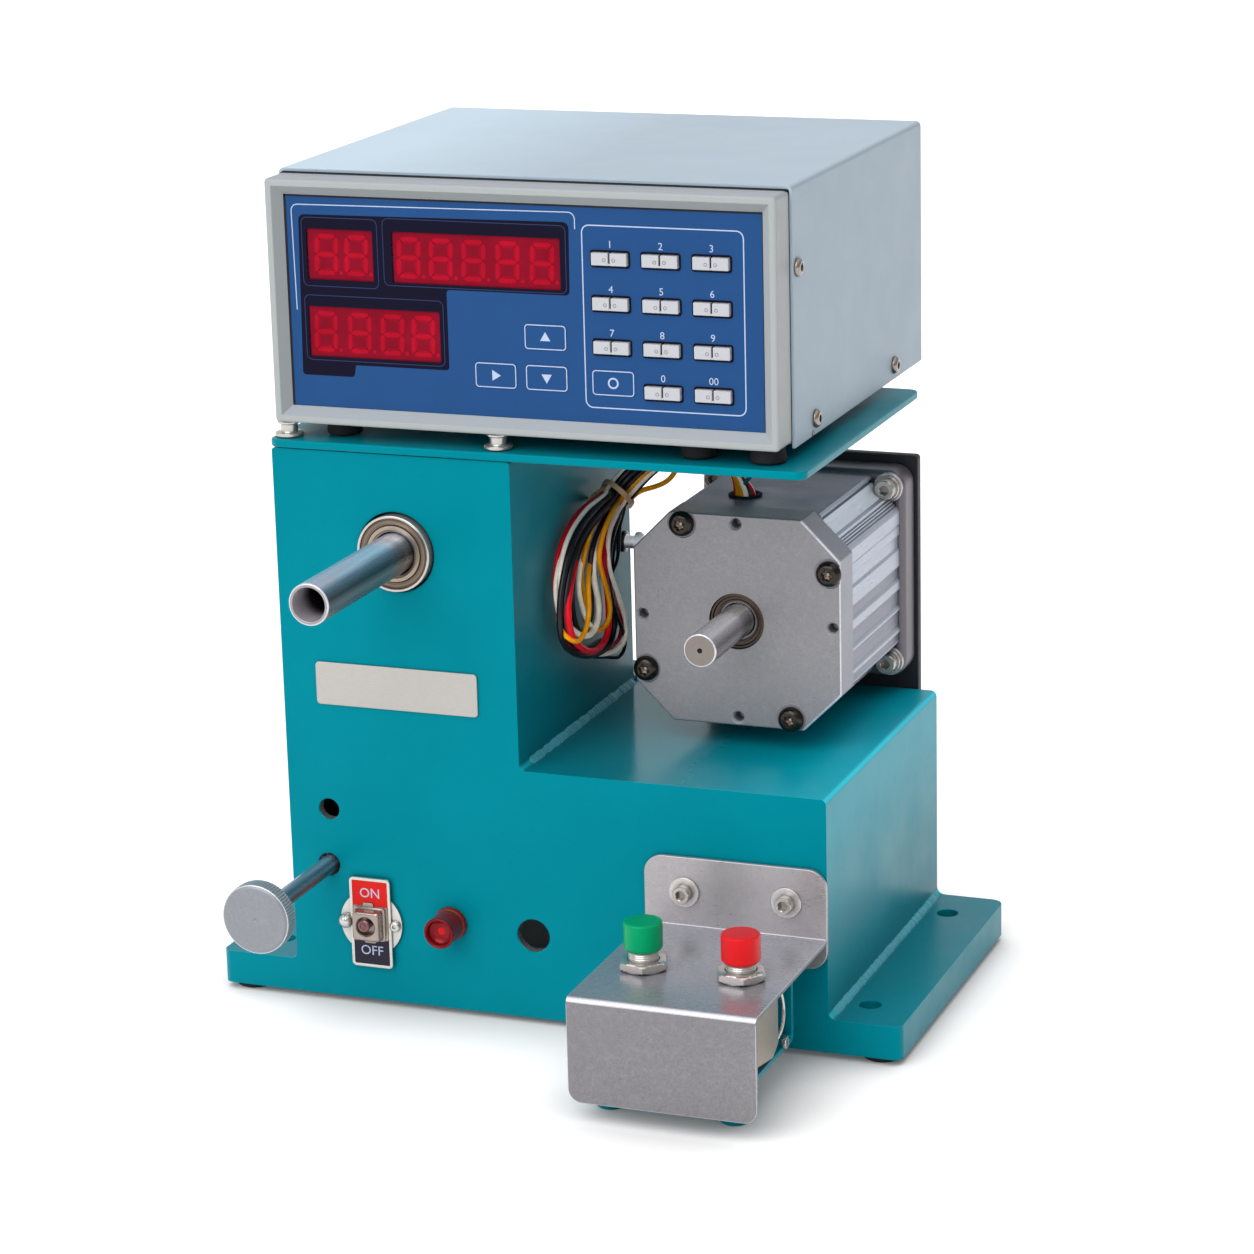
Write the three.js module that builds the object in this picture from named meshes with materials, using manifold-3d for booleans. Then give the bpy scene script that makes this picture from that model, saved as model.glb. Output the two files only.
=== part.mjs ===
// Benchtop wire coil winding machine: welded housing with a tower and a step, hollow winding
// spindle, brushless motor on the step, counter box on standoffs, and a start/stop switch bracket.
// Millimetres. Built with x across the front, y from the front face (y = 0) to the back and
// z up from the floor; the whole group is then moved so that the origin is the centre of the
// footprint, on the floor.
import * as THREE from "three";
import { mergeVertices } from "three/addons/utils/BufferGeometryUtils.js";
import Module from "manifold-3d";

const wasm = await Module();
wasm.setup();

// ---------------------------------------------------------------- driving dimensions
const SHIFT_Y = -44.8; // front face to centre of the footprint
const FLOOR = 2.6; // height of the floor in the building frame
const GAP = 0.3; // between pieces that touch

// base plate and feet
const BASE_X = 132.2, BASE_D = 136.5, BASE_Z0 = 5, BASE_Z1 = 17.5, BASE_R = [2.2, 2.2, 5, 5];
const BOLT_X = 115.2, BOLT_Y = [18.5, 117], BOLT_R = 4;
const FOOT_X = 123, FOOT_Y = [8.6, 127.9], FOOT_R = 7.6;

// housing weldment
const TX0 = -101.3, TX1 = -9.5, SX1 = 105.5; // tower left and right, step right
const STEP_Z = 99, TOWER_Z = 212.2, TOWER_D = 115, WALL = 4;

// top plate under the counter box
const TOP = { x0: -102.2, x1: 99.5, y0: -1, y1: 136, z0: 212.5, z1: 215.5 };
const LEAD_HOLE = { x: 27, y: 70, r: 7 };

// spindle line
const SPX = -54.3, SPZ = 176.6, SP_R = 7.5, SP_BORE = 6, SP_TIP = -72.3, SP_END = 113, SP_SOCKET = -10;
const BEARING_R = 14;
const PULLEY_Y = [33, 46], PULLEY_SEAT = 17, PULLEY_FLANGE = 21;
const DRIVE_Z = 75, DRIVE_SEAT = 11, DRIVE_FLANGE = 15, BELT_T = 2, BELT_Y = [35.2, 43.8];
const BULKHEAD_Y = [104, 110];

// motor on the step
const MX = 57.1, MZ = 146.8, M_HALF = 39.1, M_CHAMFER = 14.2;
const M_FRONT = [47.2, 62.5], M_BODY = [62.8, 123.7], M_REAR = [124, 136.5];
const M_SHAFT_R = 6.1, M_SHAFT_TIP = 8;

// counter box
const BEZEL = { x0: -99.5, x1: 90, y0: 0.5, y1: 13.9, z0: 221.5, z1: 309 };
const PANEL = { x0: -93.7, x1: 84.2, z0: 227.3, z1: 304.2, y0: 4, y1: 6 };
const DIGITS = [ // x0, x1, z0, z1 of the three display windows
  [-85.4, -60.2, 272.9, 291.9], [-52.7, 10.3, 273.0, 292.0], [-86.0, -35.6, 245.3, 264.3]];
const KEY_W = 13.0, KEY_H = 4.4, KEY_Y = [2.4, 11.0], KEY_GAP = 0.4;
const KEY_X = [28.9, 47.3, 65.7], KEY_Z = [285.0, 269.4, 254.2, 239.2];
const COVER = { x0: -100.5, x1: 91, y0: 14.8, y1: 167, z0: 219.8, z1: 310.5, t: 1.2 };

// front panel fittings
const ROD = { x: -86.4, z: 56, r: 3.3, hole: 4.25 };
const KNOB = { r: 13, y0: -62, y1: -55 };
const SPARE_HOLE = { x: -85.4, z: 77.4, r: 4 };
const CABLE_HOLE = { x: -6.1, z: 36.7, r: 6.25 };
const TOGGLE = { x: -70.05, z: 35.3, pivot: -1, tilt: 8 };
const LAMP = { x: -38.3, z: 38.2 };

// switch bracket
const BR = { x0: 38, x1: 106, y0: -79.2, t: 1.7, top: 73.4, shelf: 47.9, low: 36.5, bottom: 9.8 };
const BUTTON_X = [53.8, 89.3], BUTTON_Y = -45.5;

// ---------------------------------------------------------------- helpers
// A closed geometry as a solid, turned the right way out.
function solid(geometry) {
  const g = geometry.index ? geometry.toNonIndexed() : geometry.clone();
  g.deleteAttribute("normal");
  g.deleteAttribute("uv");
  const m = mergeVertices(g, 1e-4);
  const make = (t) => new wasm.Manifold(new wasm.Mesh({
    numProp: 3, vertProperties: new Float32Array(m.attributes.position.array), triVerts: t }));
  const t = new Uint32Array(m.index.array);
  let s = make(t);
  if (s.volume() < 0) {
    for (let i = 0; i < t.length; i += 3) [t[i + 1], t[i + 2]] = [t[i + 2], t[i + 1]];
    s = make(t);
  }
  return s;
}
const join = (...s) => s.reduce((a, b) => a.add(b));
const cut = (a, ...s) => s.reduce((x, b) => x.subtract(b), a);

function box(x0, x1, y0, y1, z0, z1) {
  return solid(new THREE.BoxGeometry(x1 - x0, y1 - y0, z1 - z0)
    .translate((x0 + x1) / 2, (y0 + y1) / 2, (z0 + z1) / 2));
}
const shapeOf = (points) => new THREE.Shape(points.map(([a, b]) => new THREE.Vector2(a, b)));
const extrude = (points, depth) =>
  new THREE.ExtrudeGeometry(shapeOf(points), { depth, bevelEnabled: false, curveSegments: 1 });
// outline in x and z, from y0 to y1
const alongY = (points, y0, y1) => solid(extrude(points, y1 - y0).rotateX(Math.PI / 2).translate(0, y1, 0));
// outline in y and z, from x0 to x1
const alongX = (points, x0, x1) => solid(extrude(points, x1 - x0).applyMatrix4(new THREE.Matrix4()
  .makeBasis(new THREE.Vector3(0, 1, 0), new THREE.Vector3(0, 0, 1), new THREE.Vector3(1, 0, 0)))
  .translate(x0, 0, 0));
// outline in x and y, from z0 to z1
const alongZ = (points, z0, z1) => solid(extrude(points, z1 - z0).translate(0, 0, z0));

function roundRect(x0, x1, z0, z1, r, n = 3) {
  const radii = Array.isArray(r) ? r : [r, r, r, r]; // low-low, high-low, high-high, low-high
  const out = [];
  const corner = (cx, cz, a0, rr, px, pz) => {
    if (rr <= 0) { out.push([px, pz]); return; }
    for (let i = 0; i <= n; i++) {
      const a = a0 + (i / n) * (Math.PI / 2);
      out.push([cx + rr * Math.cos(a), cz + rr * Math.sin(a)]);
    }
  };
  corner(x0 + radii[0], z0 + radii[0], Math.PI, radii[0], x0, z0);
  corner(x1 - radii[1], z0 + radii[1], 1.5 * Math.PI, radii[1], x1, z0);
  corner(x1 - radii[2], z1 - radii[2], 0, radii[2], x1, z1);
  corner(x0 + radii[3], z1 - radii[3], 0.5 * Math.PI, radii[3], x0, z1);
  return out;
}
const circle = (cx, cz, r, n = 24, a0 = 0) =>
  Array.from({ length: n }, (_, i) => {
    const a = a0 + (i / n) * 2 * Math.PI;
    return [cx + r * Math.cos(a), cz + r * Math.sin(a)];
  });
// a turned piece on an axis along y; the profile is [radius, y] pairs
function turned(profile, n = 20) {
  const closed = profile[0][0] > 0 || profile[profile.length - 1][0] > 0;
  const p = profile.map(([r, y]) => new THREE.Vector2(r, y));
  if (closed) p.push(p[0].clone());
  return solid(new THREE.LatheGeometry(p, n));
}
const upright = (s) => s.rotate([90, 0, 0]); // axis y becomes axis z

function geometryOf(s) {
  const m = s.getMesh();
  const n = m.numProp, v = new Float32Array(m.numVert * 3);
  for (let i = 0; i < m.numVert; i++) v.set(m.vertProperties.subarray(i * n, i * n + 3), i * 3);
  const g = new THREE.BufferGeometry();
  g.setAttribute("position", new THREE.BufferAttribute(v, 3));
  g.setIndex(new THREE.BufferAttribute(new Uint32Array(m.triVerts), 1));
  g.computeVertexNormals();
  return g;
}

// ---------------------------------------------------------------- materials
const mat = (color, roughness, metalness) =>
  new THREE.MeshStandardMaterial({ color, roughness, metalness, flatShading: true });
const TEAL = mat(0x008595, 0.45, 0.1);
const COVER_GREY = mat(0xb4c2cc, 0.5, 0.1);
const BEZEL_GREY = mat(0xb9bdba, 0.55, 0.0);
const BLUE = mat(0x27528a, 0.45, 0.0);
const DIGIT_RED = mat(0x8e1428, 0.25, 0.0);
const KEY_WHITE = mat(0xd0d3d6, 0.4, 0.0);
const RUBBER = mat(0x161616, 0.85, 0.0);
const STEEL = mat(0x8d9094, 0.35, 0.9);
const NICKEL = mat(0xc9c6bd, 0.25, 0.95);
const ALUMINIUM = mat(0xa9acb1, 0.4, 0.85);
const CAST = mat(0x8c8c90, 0.55, 0.8);
const BLACK_STEEL = mat(0x14161a, 0.5, 0.4);
const STAINLESS = mat(0xa9a8a8, 0.3, 0.95);
const LAMP_RED = mat(0xa0101c, 0.2, 0.0);
const CAP_GREEN = mat(0x079a53, 0.4, 0.0);
const CAP_RED = mat(0xee2a30, 0.4, 0.0);
const BOARD = mat(0x1d5a34, 0.6, 0.1);
const BLACK_PLASTIC = mat(0x1a1a1c, 0.6, 0.0);
const LOOM = mat(0x7a1f22, 0.6, 0.0);

// ---------------------------------------------------------------- assembly
const machine = new THREE.Group();
machine.position.set(0, SHIFT_Y, -FLOOR);

function piece(parent, name, s, material, position) {
  const mesh = new THREE.Mesh(geometryOf(s), material);
  mesh.name = name;
  if (position) mesh.position.set(...position);
  parent.add(mesh);
  return mesh;
}
function sub(x, y, z) {
  const g = new THREE.Group();
  g.position.set(x, y, z);
  machine.add(g);
  return g;
}

// ---- base plate with its four bolt holes, and the rubber feet
{
  let s = alongZ(roundRect(-BASE_X, BASE_X, 0, BASE_D, BASE_R), BASE_Z0, BASE_Z1);
  for (const x of [-BOLT_X, BOLT_X]) for (const y of BOLT_Y)
    s = cut(s, alongZ(circle(x, y, BOLT_R, 16, Math.PI / 16), BASE_Z0 - 1, BASE_Z1 + 1));
  piece(machine, "base_plate", s, TEAL);
  const foot = upright(turned([[0, FLOOR], [FOOT_R - 0.6, FLOOR], [FOOT_R, FLOOR + 0.6], [FOOT_R, BASE_Z0 - GAP], [0, BASE_Z0 - GAP]], 16));
  const names = ["foot_front_left", "foot_front_right", "foot_rear_left", "foot_rear_right"];
  let i = 0;
  for (const y of FOOT_Y) for (const x of [-FOOT_X, FOOT_X]) piece(machine, names[i++], foot, RUBBER, [x, y, 0]);
}

// ---- housing: tower and step in one welded shell, open at the back of the tower and below
{
  const z0 = BASE_Z1 + GAP;
  let s = join(box(TX0, TX1, 0, TOWER_D, z0, TOWER_Z), box(TX0, SX1, 0, BASE_D, z0, STEP_Z));
  s = cut(s,
    box(TX0 + WALL, TX1 - WALL, WALL, TOWER_D - WALL, STEP_Z - 9, TOWER_Z + 5),
    box(TX0 + WALL, TX1 - WALL, WALL, TOWER_D + 15, STEP_Z, TOWER_Z + 5),
    box(TX0 + WALL, SX1 - WALL, WALL, BASE_D - WALL, z0 - 5, STEP_Z - WALL),
    box(-92, -18, BASE_D - WALL - 2, BASE_D + 2, 26, 88));
  const hole = (x, z, r, n = 16) => alongY(circle(x, z, r, n, Math.PI / n), -1, WALL + 1);
  s = cut(s,
    hole(SPX, SPZ, BEARING_R + 0.35, 32), hole(SPARE_HOLE.x, SPARE_HOLE.z, SPARE_HOLE.r),
    hole(ROD.x, ROD.z, ROD.hole), hole(CABLE_HOLE.x, CABLE_HOLE.z, CABLE_HOLE.r, 20),
    hole(TOGGLE.x, TOGGLE.z, 5.4), hole(LAMP.x, LAMP.z, 5.1));
  piece(machine, "housing", s, TEAL);
}

// ---- folded sheet that closes the tower and the service opening from behind
{
  const a = TOWER_D + GAP, b = a + 1.5, c = BASE_D + GAP, d = c + 1.5, e = STEP_Z + GAP, f = e + 1.5;
  let s = alongX([[a, 211.5], [a, e], [c, e], [c, 20], [d, 20], [d, f], [b, f], [b, 211.5]], TX0 + 0.2, TX1 - 0.2);
  for (let i = 0; i < 5; i++) s = cut(s, box(-80, -31, c - 2, d + 2, 34 + 10 * i, 38 + 10 * i));
  piece(machine, "rear_cover", s, TEAL);
}

// ---- top plate
{
  let s = alongZ(roundRect(TOP.x0, TOP.x1, TOP.y0, TOP.y1, 4), TOP.z0, TOP.z1);
  s = join(s, box(-75, 65, 118, 128, TOP.z1 - 1, BEZEL.z0 - GAP)); // welded bar under the back of the counter box
  s = cut(s, alongZ(circle(LEAD_HOLE.x, LEAD_HOLE.y, LEAD_HOLE.r, 20), TOP.z0 - 1, TOP.z1 + 1));
  piece(machine, "top_plate", s, TEAL);
}

// ---- winding spindle, its bearings, pulley and turn disc
{
  const g = sub(SPX, 0, SPZ);
  piece(g, "spindle", turned([[0, SP_SOCKET], [SP_BORE, SP_SOCKET], [SP_BORE, SP_TIP], [SP_R - 0.4, SP_TIP],
    [SP_R, SP_TIP + 0.4], [SP_R, SP_END], [0, SP_END]], 24), STEEL);
  piece(g, "front_bearing", turned([[SP_R + GAP, -2.6], [9.6, -2.6], [9.6, -1.8], [12, -1.8], [12, -2.6],
    [BEARING_R, -2.6], [BEARING_R, 4.4], [SP_R + GAP, 4.4]]), NICKEL);
  piece(g, "rear_bearing", turned([[SP_R + GAP, BULKHEAD_Y[0]], [BEARING_R, BULKHEAD_Y[0]],
    [BEARING_R, BULKHEAD_Y[1]], [SP_R + GAP, BULKHEAD_Y[1]]]), NICKEL);
  const [p0, p1] = PULLEY_Y;
  piece(g, "spindle_pulley", turned([[SP_R + GAP, p0], [PULLEY_FLANGE, p0], [PULLEY_FLANGE, p0 + 1.2], [PULLEY_SEAT, p0 + 1.2],
    [PULLEY_SEAT, p1 - 1.2], [PULLEY_FLANGE, p1 - 1.2], [PULLEY_FLANGE, p1], [SP_R + GAP, p1]]), ALUMINIUM);
  const rim = [];
  for (let i = 0; i < 8; i++) for (const [k, r] of [[-0.3, 17], [0, 17], [0.3, 17], [0.34, 13.5], [0.445, 13.5]]) {
    const t = (i + k) * Math.PI / 4;
    rim.push([r * Math.cos(t), r * Math.sin(t)]);
  }
  piece(g, "turn_disc", cut(alongY(rim, 60, 61.5), alongY(circle(0, 0, SP_R + GAP, 24), 59, 63)), BLACK_PLASTIC);
}
piece(machine, "turn_sensor", alongZ([[-43, 55], [TX1 - WALL - GAP, 55], [TX1 - WALL - GAP, 66.5], [-43, 66.5], [-43, 62.7],
  [-34, 62.7], [-34, 58.8], [-43, 58.8]], 172, 181), BLACK_PLASTIC);
piece(machine, "bulkhead", cut(box(TX0 + WALL + GAP, TX1 - WALL - GAP, BULKHEAD_Y[0], BULKHEAD_Y[1], 40, 206),
  alongY(circle(SPX, SPZ, BEARING_R + 0.35, 32), BULKHEAD_Y[0] - 1, BULKHEAD_Y[1] + 1)), STEEL);

// ---- small motor inside the tower that turns the spindle through a belt
{
  const g = sub(SPX, 0, DRIVE_Z);
  piece(g, "spindle_motor", turned([[4.4, 50], [28, 50], [28, BULKHEAD_Y[0] - GAP], [0, BULKHEAD_Y[0] - GAP], [0, 72], [4.4, 72]]), BLACK_STEEL);
  const [p0, p1] = PULLEY_Y;
  piece(g, "drive_pulley", turned([[0, 30], [4, 30], [4, p0], [DRIVE_FLANGE, p0], [DRIVE_FLANGE, p0 + 1.2], [DRIVE_SEAT, p0 + 1.2],
    [DRIVE_SEAT, p1 - 1.2], [DRIVE_FLANGE, p1 - 1.2], [DRIVE_FLANGE, p1], [4, p1], [4, 70], [0, 70]]), ALUMINIUM);
}
{
  // open belt round two circles one above the other
  const span = SPZ - DRIVE_Z;
  const loop = (extra) => {
    const R = PULLEY_SEAT + extra, r = DRIVE_SEAT + extra, t = Math.asin((R - r) / span), out = [];
    for (let i = 0; i <= 14; i++) {
      const a = -t + (i / 14) * (Math.PI + 2 * t);
      out.push([SPX + R * Math.cos(a), SPZ + R * Math.sin(a)]);
    }
    for (let i = 0; i <= 10; i++) {
      const a = Math.PI + t + (i / 10) * (Math.PI - 2 * t);
      out.push([SPX + r * Math.cos(a), DRIVE_Z + r * Math.sin(a)]);
    }
    return out;
  };
  piece(machine, "drive_belt", cut(alongY(loop(GAP + BELT_T), ...BELT_Y), alongY(loop(GAP), BELT_Y[0] - 1, BELT_Y[1] + 1)), RUBBER);
}

// ---- brushless motor standing over the step
{
  const g = sub(MX, 0, MZ);
  const h = M_HALF, c = M_CHAMFER;
  const octagon = [[-h + c, -h], [h - c, -h], [h, -h + c], [h, h - c], [h - c, h], [-h + c, h], [-h, h - c], [-h, -h + c]];
  let front = alongY(octagon, ...M_FRONT);
  front = cut(front, alongY(circle(0, 0, M_SHAFT_R + 0.4, 24), M_FRONT[0] - 1, M_FRONT[1] + 1),
    alongY(circle(0, 0, 10.4, 24), M_FRONT[0] - 1, M_FRONT[0] + 1.6));
  for (const [x, z] of [[36, 0], [-36, 0], [0, 36], [0, -36]])
    front = cut(front, alongY(circle(x, z, 2, 10), M_FRONT[0] - 1, M_FRONT[0] + 7));
  piece(g, "motor_front_plate", front, CAST);
  const b = 37.9, k = 12.5, deep = 1.1;
  const side = [[b - 0.4, -b + k], [b - deep, -b + k + 0.2]]; // right side from bottom to top: shallow uneven slats
  for (const [z0, z1] of [[-22.2, -20.2], [-13.6, -11.8], [-5.5, -1.4], [3.4, 10.5], [15, 24.6]])
    side.push([b - deep, z0], [b, z0 + 0.5], [b, z1 - 0.35], [b - deep, z1 + 0.25]);
  side.push([b - 0.4, b - k]);
  const outline = [[-b + k, -b], [b - k, -b], ...side, [b - k, b], [-b + k, b], ...side.map(([x, z]) => [-x, z]).reverse()];
  const body = cut(alongY(outline, ...M_BODY), alongY(circle(0, 0, 27.5, 32), M_BODY[0] - 1, M_BODY[1] + 1),
    alongZ(circle(49.2 - MX, 81.7, 5, 16), 20, 60));
  piece(g, "motor_body", body, ALUMINIUM);
  piece(g, "motor_rear_flange", cut(alongY(roundRect(-39.8, 39.8, -39.8, 39.8, 6), ...M_REAR),
    alongY(circle(0, 0, M_SHAFT_R + 0.4, 24), M_REAR[0] - 1, M_REAR[1] + 1)), ALUMINIUM);
  piece(g, "motor_shaft", turned([[0, M_SHAFT_TIP], [M_SHAFT_R - 0.5, M_SHAFT_TIP], [M_SHAFT_R, M_SHAFT_TIP + 0.5], [M_SHAFT_R, 66],
    [26.5, 66], [26.5, 118], [M_SHAFT_R, 118], [M_SHAFT_R, 135], [0, 135]]), STEEL);
}
piece(machine, "motor_mount_plate", box(13, 98.3, BASE_D + GAP, BASE_D + GAP + 4, 24, 189.9), BLACK_STEEL);
// screw with a collar in the tower wall, holding the bulkhead
{
  const p = [[0, 0], [4.1, 0], [4.1, 1.5], [2.6, 2], [2.6, 5.6], [4.1, 6], [4.1, 7.6], [3.3, 8.5], [0, 8.5]];
  piece(machine, "wall_screw", turned(p, 14).rotate([0, 0, -90]), NICKEL, [TX1 + GAP, 107, 157]);
}

// ---- counter box: bezel, panel, display, keys, cover, chassis, board and mains inlet
{
  const B = BEZEL, w0 = PANEL.x0 - GAP, w1 = PANEL.x1 + GAP, v0 = PANEL.z0 - GAP, v1 = PANEL.z1 + GAP, f = 3.0;
  let s = cut(box(B.x0, B.x1, B.y0, B.y1, B.z0, B.z1), box(w0, w1, B.y0 + 2, B.y1 + 1, v0, v1));
  // sloping inner edge from the front face down to the panel
  const p = [];
  for (const [y, e] of [[B.y0 - 0.5, f + 0.45], [B.y0 + 3.2, 0]]) p.push([w0 - e, y, v0 - e], [w1 + e, y, v0 - e], [w1 + e, y, v1 + e], [w0 - e, y, v1 + e]);
  const g = new THREE.BufferGeometry();
  g.setAttribute("position", new THREE.BufferAttribute(new Float32Array(p.flat()), 3));
  g.setIndex([0, 1, 2, 0, 2, 3, 4, 6, 5, 4, 7, 6, 0, 5, 1, 0, 4, 5, 1, 6, 2, 1, 5, 6, 2, 7, 3, 2, 6, 7, 3, 4, 0, 3, 7, 4]);
  s = cut(s, solid(g));
  piece(machine, "display_bezel", s, BEZEL_GREY);
}
const keys = []; // x, z of the eleven keys; the fourth row has two
for (let row = 0; row < 4; row++) for (let col = row < 3 ? 0 : 1; col < 3; col++) keys.push([KEY_X[col], KEY_Z[row]]);
{
  let s = box(PANEL.x0, PANEL.x1, PANEL.y0, PANEL.y1, PANEL.z0, PANEL.z1);
  for (const [x0, x1, z0, z1] of DIGITS) s = cut(s, box(x0 - GAP, x1 + GAP, 3, 7, z0 - GAP, z1 + GAP));
  for (const [x, z] of keys) s = cut(s, box(x - KEY_W / 2 - KEY_GAP, x + KEY_W / 2 + KEY_GAP, 3, 7, z - KEY_H / 2 - KEY_GAP, z + KEY_H / 2 + KEY_GAP));
  piece(machine, "control_panel", s, BLUE);
  let d = box(-92, 82, 12, 13.6, 229, 302.5);
  for (const [x0, x1, z0, z1] of DIGITS) d = join(d, box(x0, x1, 4.5, 12.1, z0, z1));
  piece(machine, "display_module", d, DIGIT_RED);
  const key = box(-KEY_W / 2, KEY_W / 2, KEY_Y[0], KEY_Y[1], -KEY_H / 2, KEY_H / 2);
  keys.forEach(([x, z], i) => piece(machine, "key_" + String(i + 1).padStart(2, "0"), key, KEY_WHITE, [x, 0, z]));
}
{
  const C = COVER, t = C.t;
  piece(machine, "box_cover", alongY([[C.x0, C.z0], [C.x0 + t, C.z0], [C.x0 + t, C.z1 - t], [C.x1 - t, C.z1 - t], [C.x1 - t, C.z0],
    [C.x1, C.z0], [C.x1, C.z1], [C.x0, C.z1]], C.y0, C.y1), COVER_GREY);
  const x0 = C.x0 + t + GAP, x1 = C.x1 - t - GAP;
  let s = join(box(x0, x1, C.y0, 166.5, BEZEL.z0, 223), box(x0, x1, 165, 166.5, BEZEL.z0, C.z1 - t - GAP));
  s = cut(s, box(45, 73, 160, 170, 240, 261), alongZ(circle(LEAD_HOLE.x, LEAD_HOLE.y, LEAD_HOLE.r, 20), 220, 225));
  for (let i = 0; i < 6; i++) s = cut(s, box(-80, -30, 160, 170, 250 + 7 * i, 253 + 7 * i));
  piece(machine, "box_chassis", s, COVER_GREY);
  let pcb = join(box(-85, 18, 30, 150, 228, 229.6), box(-80, -38, 92, 134, 229.5, 268), box(-28, 8, 110, 140, 229.5, 258),
    box(-76, -56, 40, 62, 229.5, 241), box(-40, -10, 45, 75, 229.5, 236));
  for (const [x, y] of [[-80, 36], [12, 36], [-80, 144], [12, 144]]) pcb = join(pcb, box(x - 2.5, x + 2.5, y - 2.5, y + 2.5, 223 + GAP, 228.1));
  piece(machine, "control_board", pcb, BOARD);
  let inlet = join(box(45 + GAP, 73 - GAP, 148, 167, 240 + GAP, 261 - GAP), box(39, 79, 166.8, 168.8, 236, 265));
  inlet = cut(inlet, box(48, 70, 153, 170, 244, 257));
  for (const [x, z] of [[52, 247], [66, 247], [59, 250.6]]) inlet = join(inlet, box(x - 1, x + 1, 152.5, 166, z - 1.7, z + 1.3));
  piece(machine, "power_inlet", inlet, BLACK_PLASTIC);
}
// what the box stands on
{
  const z0 = TOP.z1 + GAP, z1 = BEZEL.z0 - GAP;
  const post = upright(turned([[0, z0], [5, z0], [5, z0 + 1.4], [3.2, z0 + 1.7], [3.2, z1 - 1.2], [4.2, z1 - 1], [4.2, z1], [0, z1]], 16));
  piece(machine, "standoff_left", post, NICKEL, [-96.7, 6, 0]);
  piece(machine, "standoff_middle", post, NICKEL, [-15.7, 6, 0]);
  const foot = upright(turned([[0, z0], [6.4, z0], [5.8, z1], [0, z1]], 16));
  piece(machine, "box_foot_middle", foot, RUBBER, [56.5, 13, 0]);
  piece(machine, "box_foot_right", foot, RUBBER, [82.5, 11, 0]);
}

// ---- push rod with its knurled knob
{
  const g = sub(ROD.x, 0, ROD.z);
  const { r, y0, y1 } = KNOB;
  piece(g, "rod_knob", turned([[0, y0], [r - 0.7, y0], [r, y0 + 0.7], [r, y1 - 0.5], [r - 0.5, y1], [ROD.r + GAP, y1], [ROD.r + GAP, y1 - 5],
    [0, y1 - 5]], 32), ALUMINIUM);
  piece(g, "push_rod", turned([[0, y1 - 4.7], [ROD.r, y1 - 4.7], [ROD.r, 5], [6, 5], [6, 8], [ROD.r, 8], [ROD.r, 60], [0, 60]], 16), STEEL);
}

// ---- mains toggle switch and pilot lamp
{
  const { x, z, pivot, tilt } = TOGGLE;
  const g = sub(x, 0, z);
  piece(g, "toggle_plate", cut(join(alongY(circle(0.2, 0, 12.3, 28), -1.2, -GAP), alongY(roundRect(-7.7, 8.5, -17, 17.6, 1.6, 2), -2.0, -1.1)),
    alongY(circle(0, 0, 5.2, 16), -3, 1)), NICKEL);
  piece(g, "toggle_switch_body", cut(join(alongY(circle(0, 0, 4.9, 16), -2.4, 5), box(-8, 8, WALL + GAP, 28, -8.2, 8.2),
    alongY(roundRect(-6.0, 6.0, -6.2, 6.2, 1.2, 2), -6.2, -2.3)), alongY(circle(0, 0, 4.0, 16), -7, 2.5)), STAINLESS);
  const lever = turned([[0, 1.6], [1.8, 1.2], [2.4, 0], [1.8, -1.4], [1.8, -4.6], [2.6, -5.3], [2.6, -6.7], [2.0, -7.2], [0, -7.2]], 16)
    .rotate([-tilt, 0, 0]);
  piece(g, "toggle_lever", lever, NICKEL, [0, pivot, 0]);
}
piece(machine, "pilot_lamp", turned([[0, 22], [4.7, 22], [4.7, -GAP], [6.3, -GAP], [6.3, -1.8], [5.8, -2.2], [5.8, -9], [6.0, -9.6], [6.0, -12], [5.1, -12],
  [3.4, -9.8], [0, -9.2]]), LAMP_RED, [LAMP.x, 0, LAMP.z]);

// ---- switch bracket with the start and stop push buttons, and the tray under it
{
  const { x0, x1, y0, t, top, shelf, low, bottom } = BR;
  let s = join(alongY(roundRect(x0, x1, low, top, 7), -GAP - t, -GAP),
    box(x0, x1, y0, -GAP - 0.2, shelf - t, shelf),
    alongY(roundRect(x0, x1, bottom, shelf, [5, 5, 0, 0]), y0, y0 + t));
  for (const x of BUTTON_X) s = cut(s, alongZ(circle(x, BUTTON_Y, 5.8, 20), shelf - 5, shelf + 2));
  piece(machine, "switch_bracket", s, STAINLESS);
  const hex = (r, z0, z1, a) => alongZ(circle(0, 0, r, 6, a), z0, z1);
  const body = cut(join(alongZ(circle(0, 0, 5.4, 20), 38, 59.5), hex(9.2, shelf + GAP, 51.5, 0.35), hex(8.6, 43, shelf - t - GAP, 0),
    box(-8, 8, -8, 8, 24.5, 41)), alongZ(circle(0, 0, 2.9, 16), 33, 62));
  const cap = upright(turned([[0, 65.3], [6.2, 65.3], [6.9, 64.5], [6.9, 54.8], [5.9, 54.8], [5.9, 63], [2.5, 63], [2.5, 38], [0, 38]]));
  piece(machine, "start_button_body", body, STAINLESS, [BUTTON_X[0], BUTTON_Y, 0]);
  piece(machine, "start_button_cap", cap, CAP_GREEN, [BUTTON_X[0], BUTTON_Y, 0]);
  piece(machine, "stop_button_body", body, STAINLESS, [BUTTON_X[1], BUTTON_Y, 0]);
  piece(machine, "stop_button_cap", cap, CAP_RED, [BUTTON_X[1], BUTTON_Y, -0.7]);
  piece(machine, "switch_tray", join(box(39.5, 101, -68, -25, 19, 21), box(39.5, 101, -27, -25, 19, shelf - t - GAP),
    alongZ(circle(46.8, -61, 5.5, 14), FLOOR, 19.5), alongZ(circle(91.9, -61.5, 5.5, 14), FLOOR, 19.5)), TEAL);
}

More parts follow.
